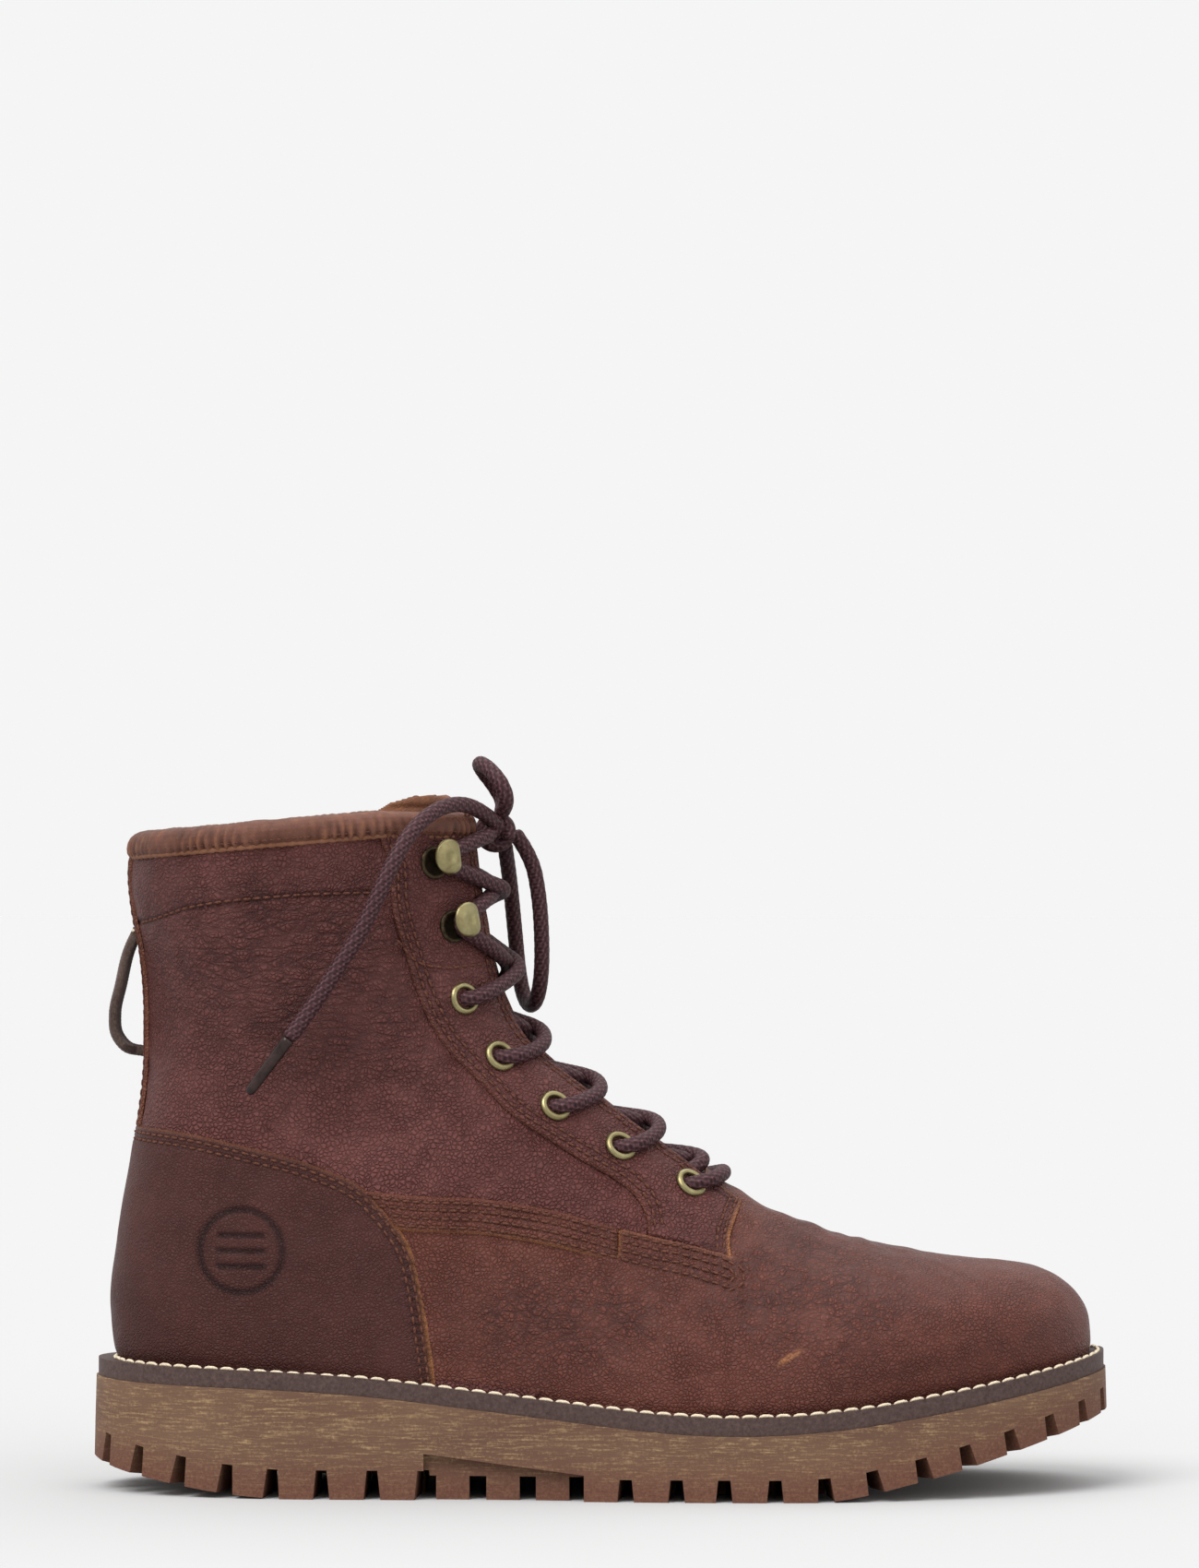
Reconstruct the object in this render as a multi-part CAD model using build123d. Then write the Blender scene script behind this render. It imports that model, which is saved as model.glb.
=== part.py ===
from build123d import *
import math
import os

# A right boot in millimetres. +X points to the toe, +Y to the inner side of the foot, +Z up.
# The origin is on the ground, in the middle of the boot's footprint.

# Each row is one slice of the upper. A slice is a closed oval in a plane that holds the Y direction.
# back x, z: the slice's end at the heel or under the foot. front x, z: its end on the throat, instep or toe.
# Then its middle y, half width, where it is widest (0 back, 1 front),
# and how full its back and front ends are.
SLICES = [
    (-138.2, 207.5, -38.6, 218.5, 0.0, 40.3, 0.43, 2.1, 2.2),
    (-139.0, 195.5, -37.2, 204.5, 0.0, 40.0, 0.43, 2.1, 2.2),
    (-140.4, 184.0, -35.2, 188.5, 0.0, 39.4, 0.43, 2.1, 2.2),
    (-139.4, 172.5, -32.9, 173.5, 0.0, 38.4, 0.43, 2.1, 2.2),
    (-137.2, 161.0, -30.2, 159.5, 0.0, 37.4, 0.43, 2.1, 2.2),
    (-136.0, 149.5, -26.2, 146.5, 0.0, 36.7, 0.43, 2.1, 2.2),
    (-135.7, 137.5, -19.2, 134.2, 0.0, 36.1, 0.44, 2.2, 2.2),
    (-136.0, 124.5, -8.5, 124.6, 0.0, 35.8, 0.46, 2.4, 2.2),
    (-137.8, 109.0, 4.5, 115.3, -0.2, 35.8, 0.49, 2.8, 2.1),
    (-140.6, 92.5, 17.0, 106.4, -0.5, 36.3, 0.52, 3.1, 2.0),
    (-143.6, 74.0, 28.5, 98.2, -0.9, 37.0, 0.55, 3.4, 2.0),
    (-145.3, 54.0, 37.5, 91.2, -1.2, 37.8, 0.58, 3.5, 2.0),
    (-141.0, 32.0, 45.5, 85.9, -1.6, 38.4, 0.60, 3.5, 2.0),
    (-124.0, 13.0, 53.5, 82.0, -2.2, 39.2, 0.60, 3.0, 2.0),
    (-96.0, 3.0, 62.5, 78.8, -2.6, 41.0, 0.60, 2.6, 2.1),
    (-62.0, -2.0, 72.0, 75.9, -2.4, 44.0, 0.58, 2.4, 2.2),
    (-27.0, -4.0, 82.0, 73.2, -1.8, 47.2, 0.55, 2.4, 2.3),
    (8.0, -4.0, 92.0, 70.9, -0.8, 49.4, 0.52, 2.4, 2.4),
    (41.0, -1.0, 102.0, 69.1, 0.5, 50.2, 0.50, 2.4, 2.5),
    (71.0, 4.0, 112.0, 67.8, 2.3, 48.6, 0.50, 2.4, 2.5),
    (98.0, 9.0, 121.5, 66.9, 4.2, 44.2, 0.50, 2.4, 2.5),
    (120.0, 15.0, 130.0, 65.5, 6.0, 37.2, 0.50, 2.4, 2.4),
    (136.0, 21.0, 137.8, 62.3, 7.4, 27.8, 0.50, 2.3, 2.3),
    (144.8, 27.0, 143.8, 57.2, 8.2, 17.0, 0.50, 2.2, 2.2),
    (147.7, 32.5, 147.2, 50.5, 8.6, 8.2, 0.50, 2.0, 2.0),
    (148.1, 38.0, 148.1, 38.0, 8.8, 0.0, 0.50, 2.0, 2.0),
]
LAST = len(SLICES) - 1
TOE_TIP = LAST - 0.1
BALL_HALF_WIDTH = 50.2
SKIN_POINTS = 12

# Thickness of the upper's layers, as insets from its outer face. A negative inset stands proud of it.
LEATHER = (0.0, 1.9)
OVERLAY = (-1.7, -0.3)
STIFFENER = (2.1, 3.2)
WARM_LAYER = (3.4, 5.8)
LINING = (6.0, 7.2)
TONGUE_PAD = (8.8, 11.8)
TONGUE_FACE = (6.2, 8.6)

# Side views of the seams, x and z, on the outer side. The inner side has the same seams.
SOLE_TOP = [(-170, 40.2), (-152, 39.0), (-110, 37.7), (-69, 35.5), (-40, 32.2), (-15, 29.3), (14, 25.9), (36, 24.6),
            (60, 25.3), (82, 27.7), (111, 32.5), (135, 37.0), (152, 40.5), (170, 44.4)]
COLLAR_TOP = [(-165, 193.6), (-140, 195.6), (-100, 199.3), (-65, 202.2), (-40, 201.6), (-20, 199.0)]
COLLAR_BAND = 6.0
CUFF_SEAM = [(-165, 165.0), (-134.8, 169.7), (-122.5, 173.8), (-95.3, 177.4), (-50, 179.0), (-20, 179.0)]
EYESTAY_SEAM = [(-66.5, 215.0), (-65.1, 195.6), (-62.4, 187.2), (-61.3, 174.4), (-57.2, 159.7), (-52.8, 145.8),
                (-46.6, 134.1), (-35.9, 122.6), (-25.3, 112.0), (-14.7, 105.0), (-4.6, 98.7), (4.4, 93.5),
                (10.9, 88.2), (13.6, 83.5), (14.4, 77.0)]
BAND_TOP = [(-80, 91.6), (-69.7, 90.5), (-54.5, 88.9), (-35.7, 88.1), (-13.6, 84.5), (5.7, 79.1), (18, 76.0),
            (38.9, 70.4), (44.1, 68.5)]
BAND_DEPTH = 10.5
FOXING_EDGE = [(-165, 109.0), (-139.5, 108.3), (-123.4, 107.0), (-103.7, 103.0), (-84.4, 97.9), (-69.7, 91.0),
               (-62.1, 83.2), (-56.1, 74.5), (-52.3, 60.9), (-50.4, 49.2), (-48.5, 35.1), (-47.5, 10.0)]
THROAT_GAP = 11.0

# Places of the outer side's eyelets and hooks, x and z, from the lowest one up.
EYELETS = [(26.9, 91.3), (6.0, 102.5), (-13.4, 114.6), (-29.9, 129.4), (-40.6, 146.7)]
HOOKS = [(-43.2, 169.3), (-48.6, 188.2)]
EYELET_HOLE = 2.9
EYELET_RIM = 5.0
LACE = 4.6

# The sole.
WELT_HEIGHT = 5.3
WELT_EDGE = 3.9
WELT_WIDTH = 17.0
SOLE_EDGE_TOP = 4.2
SOLE_EDGE_BOTTOM = 5.6
HEEL_EXTRA = 3.1
HEEL_BEVEL = [(-170, 16.0), (-153, 10.5), (-147, 8.2), (-138, 6.0), (-125, 3.6), (-112, 1.6), (-100, 0.4),
              (-92, 0.0)]
TOE_SPRING = [(60, 0.0), (75, 1.3), (90, 4.6), (104, 8.0), (120, 12.6), (135, 17.2), (148, 21.5), (170, 30.0)]
TREAD = HEEL_BEVEL + TOE_SPRING
LUG_PITCH = 14.8
LUG_GAP = 4.4
HEEL_LUG_DEPTH = 8.6
FRONT_LUG_DEPTH = 6.6
ARCH_LUG_DEPTH = 7.0
ARCH_SET_BACK = 3.4
LUG_LENGTH = 21.0
BREAST_X = -51.8
FRONT_TREAD_X = -4.6


def between(rows, place):
    """The values at a place between the rows of a table, on a smooth curve through them."""
    i = min(max(int(place), 0), len(rows) - 2)
    f = place - i
    before = rows[max(i - 1, 0)]
    after = rows[min(i + 2, len(rows) - 1)]
    values = []
    for a, b, c, d in zip(before, rows[i], rows[i + 1], after):
        turn = (c - a) * f + (2 * a - 5 * b + 4 * c - d) * f**2 + (3 * b - a - 3 * c + d) * f**3
        values.append(b + turn / 2)
    return values


def toe_share(place):
    """How far round the toe a place is, from 0 before the toe cap to 1 at the tip."""
    toe = max(0.0, (place - 20) / (LAST - 20))
    return toe * (2 - toe)


def upper_point(place, angle, inset=0.0):
    """A point of the upper: place along its slices, angle round one from its back, outer side first."""
    back_x, back_z, front_x, front_z, middle, half, widest, back_full, front_full = between(SLICES, place)
    length = math.hypot(front_x - back_x, front_z - back_z)
    end_inset = inset * min(1.0, length / 60.0)
    side_inset = inset * (half / BALL_HALF_WIDTH if place > 18 else 1.0)
    run = -math.cos(angle)
    share = widest * (1 + run) if run < 0 else widest + (1 - widest) * run
    full = back_full if run < 0 else front_full
    wide = (half - side_inset) * math.sqrt(max(0.0, 1 - abs(run) ** full))
    step = (end_inset + share * (length - 2 * end_inset)) / max(length, 1e-6)
    x = back_x + (front_x - back_x) * step - inset * toe_share(place)
    z = back_z + (front_z - back_z) * step
    side = -1 if math.sin(angle) > 0 else 1
    return Vector(x, middle + side * wide, z)


def skin(insets, places, first, last):
    """A curved wall of the upper between two insets, from the first to the last angle of each slice."""
    rings = []
    for place in places:
        turns = [first + (last - first) * k / SKIN_POINTS for k in range(SKIN_POINTS + 1)]
        outside = [upper_point(place, turn, insets[0]) for turn in turns]
        inside = [upper_point(place, turn, insets[1]) for turn in reversed(turns)]
        if place == TOE_TIP:
            slide = (insets[1] - insets[0]) * toe_share(place)
            inside = [point + Vector(slide, 0, 0) for point in inside]
        ends = [Edge.make_line(outside[-1], inside[0]), Edge.make_line(inside[-1], outside[0])]
        rings.append(Wire([Edge.make_spline(outside), ends[0], Edge.make_spline(inside), ends[1]]))
    return Solid.make_loft(rings, ruled=True)


def run_of(first, last):
    """The slices from the first place to the last, closer together round the toe."""
    places = [p / 2 for p in range(math.ceil(2 * first), math.floor(2 * last) + 1)]
    places = [p for p in places if p == int(p) or p > 19]
    if not places or places[0] > first:
        places.insert(0, first)
    if places[-1] < last:
        places.append(last)
    return places


def height_on(line, x):
    """The height of a side-view line at x, straight between its points."""
    for (x0, z0), (x1, z1) in zip(line, line[1:]):
        if x0 <= x <= x1:
            return z0 + (z1 - z0) * (x - x0) / (x1 - x0)
    return line[-1][1]


def moved(line, dx, dz):
    """A side-view line moved by dx, dz."""
    return [(x + dx, z + dz) for x, z in line]


def side_prism(stretches, low_y=-90.0, high_y=90.0):
    """A block whose side view is bounded by stretches in order: curves through 3 or more points, or lines."""
    edges = []
    for stretch in stretches:
        points = [Vector(x, low_y, z) for x, z in stretch]
        if len(points) > 2:
            edges.append(Edge.make_spline(points))
        else:
            edges.append(Edge.make_line(*points))
    joined = []
    for edge, after in zip(edges, edges[1:] + edges[:1]):
        joined.append(edge)
        if (edge @ 1 - after @ 0).length > 1e-6:
            joined.append(Edge.make_line(edge @ 1, after @ 0))
    return extrude(make_face(Wire(joined)), amount=high_y - low_y, dir=(0, 1, 0))


def band_between(lower, upper, low_y=-90.0, high_y=90.0):
    """A block between two side-view lines that both run towards +X."""
    return side_prism([lower, list(reversed(upper))], low_y, high_y)


OUTER_SIDE = (-90.0, 0.0)
INNER_SIDE = (0.0, 90.0)


def seat(x, z, side):
    """The place and angle on the upper of a point given in side view. side is -1 outside, 1 inside."""
    low = 0.0
    high = LAST - 1.0
    for _ in range(50):
        place = (low + high) / 2
        back_x, back_z, front_x, front_z = between(SLICES, place)[:4]
        turn = (front_x - back_x) * (z - back_z) - (front_z - back_z) * (x - back_x)
        low, high = (place, high) if turn < 0 else (low, place)
    widest = between(SLICES, place)[6]
    share = ((x - back_x) * (front_x - back_x) + (z - back_z) * (front_z - back_z)) / math.hypot(
        front_x - back_x, front_z - back_z
    ) ** 2
    run = share / widest - 1 if share < widest else (share - widest) / (1 - widest)
    return place, -side * math.acos(-run)


def outward(place, angle):
    """The upper's outward normal."""
    step = 0.02
    around = upper_point(place, angle + step) - upper_point(place, angle - step)
    along = upper_point(place + step, angle) - upper_point(place - step, angle)
    normal = around.cross(along).normalized()
    inside = upper_point(place, math.pi / 2) + upper_point(place, -math.pi / 2)
    return normal if normal.dot(upper_point(place, angle) - inside / 2) > 0 else -normal


def fitting_plane(x, z, side):
    """A plane on the upper for an eyelet or hook: z_dir out of the leather, y_dir up along the throat."""
    place, angle = seat(x, z, side)
    normal = outward(place, angle)
    upwards = upper_point(place - 0.3, angle) - upper_point(place + 0.3, angle)
    across = upwards.cross(normal).normalized()
    return Plane(origin=upper_point(place, angle), x_dir=across, z_dir=normal)


FEATHER_PLACES = [11.71, 11.78, 12.0, 12.3, 12.7, 13.3, 14, 15, 16, 17, 18, 19, 20, 21, 22, 23, 23.8, 24.5]


def feather_point(place, side):
    """Where a slice of the upper meets the top of the sole."""
    low = 0.0
    high = math.pi
    for _ in range(40):
        angle = (low + high) / 2
        point = upper_point(place, -side * angle)
        if point.Z < height_on(SOLE_TOP, point.X):
            low = angle
        else:
            high = angle
    return Vector(point.X, point.Y, 0)


FEATHER = [feather_point(place, -1) for place in FEATHER_PLACES]
FEATHER += [feather_point(place, 1) for place in reversed(FEATHER_PLACES)]


def footprint(margin, z=0.0, heel_extra=HEEL_EXTRA):
    """The sole's outline in plan, at a margin outside the line where upper and sole meet."""
    points = []
    for before, here, after in zip(FEATHER[-1:] + FEATHER[:-1], FEATHER, FEATHER[1:] + FEATHER[:1]):
        along = (after - before).normalized()
        reach = margin + heel_extra * min(1.0, max(0.0, (-60 - here.X) / 60))
        points.append(Vector(here.X + along.Y * reach, here.Y - along.X * reach, z))
    return Wire([Edge.make_spline(points, periodic=True)])


def plan_block(margin, heel_extra=HEEL_EXTRA):
    """An upright block with the outline of the footprint."""
    return extrude(make_face(footprint(margin, -10, heel_extra)), amount=90, dir=(0, 0, 1))


def tread_cutter(x, y, towards_x, towards_y, inward, outward_reach, depth):
    """A groove cut up into the tread from a point of it, wider at its mouth."""
    slope = (height_on(TREAD, x + 1) - height_on(TREAD, x - 1)) / 2
    up = Vector(-slope, 0, 1).normalized()
    mouth = Vector(x, y, height_on(TREAD, x)) - up
    plane = Plane(origin=mouth, x_dir=Vector(towards_x, towards_y, slope * towards_x), z_dir=up)
    middle = (outward_reach - inward) / 2
    opening = plane * Pos(middle, 0) * Rectangle(inward + outward_reach, LUG_GAP + 0.8)
    return extrude(opening, amount=depth + 1, taper=6)


def edge_grooves(low_x, high_x, first, depth, reach):
    """Grooves round the sole's edge in a range of x, a lug pitch apart, from a first distance in."""
    rim = footprint(SOLE_EDGE_BOTTOM).edges()[0]
    steps = round(rim.length)
    spots = []
    for k in range(2 * steps):
        share = (k % steps) / steps
        point = rim.position_at(share, PositionMode.PARAMETER)
        spots.append((point, rim.tangent_at(share, PositionMode.PARAMETER)))
    inside = [low_x < point.X < high_x for point, _ in spots]
    start = next(k for k in range(1, 2 * steps) if inside[k] and not inside[k - 1])
    walked = 0.0
    goal = first
    found = []
    k = start
    while inside[k]:
        step = (spots[k + 1][0] - spots[k][0]).length
        walked += step
        if walked > goal:
            goal += LUG_PITCH
            found.append(spots[k])
        k += 1
    cutters = []
    for point, along in found:
        cutters.append(tread_cutter(point.X, point.Y, along.Y, -along.X, reach, 8, depth))
    return cutters


def cross_grooves(xs, depth):
    """Grooves straight across the middle of the tread."""
    return [tread_cutter(x, 0, 0, 1, 60, 60, depth) for x in xs]


def outsole():
    """The lugged rubber sole with its heel, arch and tread."""
    sides = Solid.make_loft([footprint(SOLE_EDGE_BOTTOM, -5), footprint(SOLE_EDGE_TOP, 45)], ruled=True)
    top = list(reversed(moved(SOLE_TOP, 0, -WELT_HEIGHT)))
    body = sides & side_prism([HEEL_BEVEL, [HEEL_BEVEL[-1], TOE_SPRING[0]], TOE_SPRING, top])
    arch = side_prism([[(BREAST_X, -9), (BREAST_X, 13.6)], [(FRONT_TREAD_X, 7.7), (FRONT_TREAD_X, -9)]])
    set_back = plan_block(SOLE_EDGE_BOTTOM - ARCH_SET_BACK)
    arch -= set_back & Pos(-28, 0, ARCH_LUG_DEPTH + 30) * Box(70, 200, 60)
    for x in (-43.2, -28.4, -13.8):
        arch -= set_back & Pos(x, 0, 0) * Box(9.8, 200, 60)
    body -= arch
    lug_ring = plan_block(SOLE_EDGE_BOTTOM - LUG_LENGTH) - plan_block(SOLE_EDGE_BOTTOM - LUG_LENGTH - LUG_GAP)
    tread_floor = band_between(moved(TREAD, 0, -9), moved(TREAD, 0, FRONT_LUG_DEPTH - 0.5))
    ends = Pos(-108, 0, 0) * Box(2 * (-108 - BREAST_X) * -1, 200, 200) + Pos(96, 0, 0) * Box(200, 200, 200)
    body -= lug_ring & tread_floor & ends
    middle = plan_block(SOLE_EDGE_BOTTOM - LUG_LENGTH - 1)
    bars = cross_grooves([-66.8, -81.6, -96.4, -111.2], FRONT_LUG_DEPTH)
    bars += cross_grooves([10.2 + LUG_PITCH * k for k in range(8)], FRONT_LUG_DEPTH)
    for bar in bars:
        body -= bar & middle
    for cutter in edge_grooves(-400, BREAST_X, 19.1, HEEL_LUG_DEPTH, LUG_LENGTH + 1):
        body -= cutter
    for cutter in edge_grooves(FRONT_TREAD_X, 400, 12.3, FRONT_LUG_DEPTH, LUG_LENGTH + 1):
        body -= cutter
    return body


def rubber_and_board():
    """The sole unit above the outsole and the boards inside the boot."""
    thick = band_between(moved(SOLE_TOP, 0, 0.05 - WELT_HEIGHT), SOLE_TOP)
    well = plan_block(WELT_EDGE - WELT_WIDTH)
    welt = (plan_block(WELT_EDGE) - well) & thick
    filler = plan_block(WELT_EDGE - WELT_WIDTH - 0.2) & band_between(
        moved(SOLE_TOP, 0, 0.05 - WELT_HEIGHT), moved(SOLE_TOP, 0, -0.2)
    )
    shank_room = Pos(-44, 0, 30) * Box(112.4, 16.4, 60)
    filler -= shank_room & band_between(moved(SOLE_TOP, 0, -2.3), moved(SOLE_TOP, 0, 5))
    shank = Pos(-44, 0, 30) * Box(112, 16, 60)
    shank &= band_between(moved(SOLE_TOP, 0, -2.2), moved(SOLE_TOP, 0, -0.9))
    thread = plan_block(3.3) - plan_block(1.9)
    thread &= band_between(moved(SOLE_TOP, 0, 0.02), moved(SOLE_TOP, 0, 0.5))
    board = plan_block(-8.8, 0) & band_between(moved(SOLE_TOP, 0, 0.1), moved(SOLE_TOP, 0, 2.3))
    footbed = plan_block(-9.4, 0) & band_between(moved(SOLE_TOP, 0, 2.6), moved(SOLE_TOP, 0, 6.6))
    return {
        "welt": welt,
        "cork_filler": filler,
        "shank": shank,
        "welt_stitching": thread,
        "insole_board": board,
        "footbed": footbed,
    }


def leather_panels():
    """The outer leather: vamp, quarters, eyestays, foxing, side bands and collar binding."""
    above_sole = band_between(moved(SOLE_TOP, 0, 0.08), [(-170, 260), (170, 260)])
    collar_seam = moved(COLLAR_TOP, 0, -COLLAR_BAND)
    below_collar = band_between([(-170, -20), (170, -20)], [*moved(collar_seam, 0, -0.1), (170, 240)])
    eyestay_front = [(44.2, 110), (60, 215)]
    lap_line = [(-60, 83.2), *moved(BAND_TOP, 0, -0.6 * BAND_DEPTH)[3:-1]]
    lap_end = lap_line[-1]
    vamp_back = [[(-60, 5), lap_line[0]], lap_line, [lap_end, (43.5, 85.5)]]
    vamp_block = side_prism([*vamp_back, [(44.6, 110), (170, 110)], [(170, 110), (170, 5)]])
    above_lap = moved(lap_line, 0, 0.6)
    eyestay_lines = [EYESTAY_SEAM, [EYESTAY_SEAM[-1], (14.4, 70.9)], [(14.4, 70.9), *above_lap[-2:]]]
    eyestay_lines += [[above_lap[-1], (43.1, 85.7)]]
    vamp = skin(LEATHER, run_of(9, TOE_TIP), 0.2 * math.pi, 1.8 * math.pi)
    pieces = {"vamp": vamp & above_sole & vamp_block}
    for name, turn, side in (("outer", 1, OUTER_SIDE), ("inner", -1, INNER_SIDE)):
        open_side = (side[0], -THROAT_GAP) if name == "outer" else (THROAT_GAP, side[1])
        wall = skin(LEATHER, run_of(0.3, 15), turn * 0.012, turn * 0.96 * math.pi) & above_sole & below_collar
        eyestay = side_prism([*eyestay_lines, eyestay_front], *open_side)
        seam = moved(EYESTAY_SEAM, -0.12, 0)
        under = [(14.28, 70.9), *reversed(moved(above_lap[:4], -0.12, 0))]
        upper_quarter = side_prism([seam, [seam[-1], under[0]], under, [under[-1], (-60.12, 5)],
                                    [(-200, 5), (-200, 215)]], *side)
        pieces["quarter_" + name] = wall & upper_quarter
        pieces["eyestay_" + name] = wall & eyestay
        lap = side_prism([BAND_TOP, list(reversed(moved(BAND_TOP, 0, -BAND_DEPTH)))], *side)
        lap &= side_prism([[(-54, 0), (-66.2, 93)], [(46, 93), (44, 0)]], *side)
        lap -= side_prism([moved(FOXING_EDGE, 0.2, 0), [(-47, 10), (-200, 10)], [(-200, 10), (-200, 109.0)]])
        band = skin(OVERLAY, run_of(10, 17), turn * 0.3 * math.pi, turn * 0.95 * math.pi)
        pieces["side_band_" + name] = band & lap
    foxing_block = side_prism([FOXING_EDGE, [FOXING_EDGE[-1], (-200, 10)], [(-200, 10), (-200, 109.0)]])
    foxing = skin(OVERLAY, run_of(7, 15.5), -0.62 * math.pi, 0.62 * math.pi)
    pieces["heel_foxing"] = foxing & above_sole & foxing_block
    collar = skin((-1.2, LINING[1]), run_of(0.3, 3), -0.91 * math.pi, 0.91 * math.pi)
    collar &= band_between(collar_seam, COLLAR_TOP)
    hollow = skin((1.6, 5.6), run_of(0.3, 3.5), -0.93 * math.pi, 0.93 * math.pi)
    hollow &= band_between(moved(collar_seam, 0, -2), moved(COLLAR_TOP, 0, -1.6))
    pieces["collar_binding"] = collar - hollow
    strap = skin((-1.4, -0.1), run_of(1, 8.5), -0.052 * math.pi, 0.052 * math.pi)
    pieces["back_strap"] = strap & band_between([(-170, 109.6), (-100, 108.6)], moved(collar_seam, 0, -0.2))
    return pieces


def inner_layers():
    """The stiffeners, padding, warm layer, lining and tongue inside the leather."""
    above_sole = band_between(moved(SOLE_TOP, 0, 0.08), [(-170, 260), (170, 260)])
    collar_seam = moved(COLLAR_TOP, 0, -COLLAR_BAND)
    below_collar = band_between([(-170, -20), (170, -20)], [*moved(collar_seam, 0, -0.2), (170, 240)])
    below_cuff = band_between([(-170, -20), (170, -20)], [*moved(CUFF_SEAM, 0, -0.2), (170, 180)])
    cuff_block = band_between(CUFF_SEAM, moved(COLLAR_TOP, 0, -1.8))
    shaft = -0.72 * math.pi, 0.72 * math.pi
    forefoot = 0.2 * math.pi, 1.8 * math.pi
    foot_run = run_of(12.6, TOE_TIP)
    tongue_top = [(-90, 196), (-64, 204.5), (-55, 207.0), (-47, 207.4), (-38, 203.5), (-20, 190)]
    below_top = band_between([(-90, 0), (-20, 0)], tongue_top) + Pos(40, 0, 80) * Box(120, 180, 160)
    counter_block = side_prism([[(-170, 99), (-95, 92)], [(-95, 92), (-80, 20)], [(-80, 20), (-170, 20)]])
    counter = skin(STIFFENER, run_of(8, 12.3), -0.6 * math.pi, 0.6 * math.pi)
    return {
        "heel_counter": counter & above_sole & counter_block,
        "toe_puff": skin(STIFFENER, run_of(19.5, TOE_TIP), *forefoot) & above_sole,
        "cuff_foam": skin((2.1, 5.2), run_of(0.3, 4.5), *shaft) & cuff_block,
        "warm_layer_shaft": skin(WARM_LAYER, run_of(0.3, 12.3), *shaft) & above_sole & below_cuff,
        "warm_layer_foot": skin(WARM_LAYER, foot_run, *forefoot) & above_sole,
        "lining_shaft": skin(LINING, run_of(0.3, 12.3), *shaft) & above_sole & below_collar,
        "lining_foot": skin(LINING, foot_run, *forefoot) & above_sole,
        "tongue_padding": skin(TONGUE_PAD, run_of(0.35, 11.6), 0.79 * math.pi, 1.21 * math.pi) & below_top,
        "tongue_face": skin(TONGUE_FACE, run_of(0.35, 11.6), 0.963 * math.pi, 1.037 * math.pi) & below_top,
    }


def eyelet():
    """A brass eyelet standing on the XY plane: rounded rim, barrel through the leather, rolled back rim."""
    rim = Cylinder(EYELET_RIM, 0.95, align=(Align.CENTER, Align.CENTER, Align.MIN))
    rim = fillet(rim.edges().group_by(Axis.Z)[-1], 0.6)
    barrel = Pos(0, 0, -3.8) * Cylinder(EYELET_HOLE + 0.4, 4.3, align=(Align.CENTER, Align.CENTER, Align.MIN))
    back = Pos(0, 0, -3.9) * Cylinder(4.0, 0.5, align=(Align.CENTER, Align.CENTER, Align.MIN))
    body = Pos(0, 0, 0.3) * rim + barrel + back
    return body - Cylinder(EYELET_HOLE, 12)


def hook(towards_throat):
    """A speed hook on the XY plane: base disc, folded web at its throat side, domed cap, rivet below."""
    flat = Align.CENTER, Align.CENTER, Align.MIN
    base = Pos(0, 0, 0.1) * Cylinder(4.9, 0.8, align=flat)
    rivet = Pos(0, 0, -3.4) * Cylinder(1.6, 3.7, align=flat)
    rivet += Pos(0, 0, -3.5) * Cylinder(3.2, 0.5, align=flat)
    web = Pos(towards_throat * 3.2, 0, 0.1) * Box(1.1, 7.0, 6.9, align=flat)
    cap = Pos(0, 0, 5.9) * Cylinder(5.1, 1.1, align=flat)
    cap = fillet(cap.edges().group_by(Axis.Z)[-1], 0.7)
    cap -= Pos(towards_throat * 6.75, 0, 5) * Box(6, 14, 6)
    return base + rivet + web + cap


def corner_radii(points):
    """The largest even arc at each inner point of a route, short of half its shorter run."""
    radii = []
    for before, here, after in zip(points, points[1:], points[2:]):
        turn = (here - before).get_angle(after - here)
        shorter = min((here - before).length, (after - here).length)
        radii.append(0.45 * shorter / math.tan(math.radians(turn) / 2))
    return radii


def tube(name, points, diameter):
    """A cord's solid: straight runs and tangent arcs along the route."""
    points = [Vector(*p) for p in points]
    radii = corner_radii(points)
    path = FilletPolyline(*points, radius=radii)
    start = Plane(origin=path @ 0, z_dir=path % 0)
    body = sweep(start * Circle(diameter / 2), path=path)
    exact = math.pi * diameter**2 / 4 * path.length
    print(name, "length", round(path.length, 1), "volume share", round(body.volume / exact, 3),
          "radii", [round(r, 1) for r in radii])
    return body


# Routes of the free lace, points chosen by hand: two tails and two loops from the bow.
TAIL_OUTER = [(-31.6, -6.4, 199.2), (-37.0, -17.0, 204.5), (-46.5, -30.5, 204.6), (-56.0, -42.0, 196.8),
              (-63.0, -46.2, 183.0), (-69.0, -45.0, 169.0), (-77.0, -44.2, 156.5), (-85.5, -43.4, 143.5),
              (-91.5, -43.6, 135.5)]
TAIL_INNER = [(-31.6, 6.4, 199.2), (-37.5, 18.5, 204.2), (-47.5, 33.0, 203.0), (-56.0, 43.4, 192.5),
              (-61.5, 46.4, 177.5), (-65.5, 45.2, 159.0), (-69.5, 43.8, 145.0), (-71.5, 43.6, 134.0)]
LOOP_UP = [(-29.5, -3.5, 201.9), (-27.3, -9.5, 204.6), (-29.0, -11.5, 210.5), (-33.0, -7.5, 215.3),
           (-36.3, -0.5, 217.2), (-35.6, 6.5, 215.0), (-31.8, 10.6, 210.2), (-28.6, 9.2, 204.6), (-29.6, 3.5, 201.9)]
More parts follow.
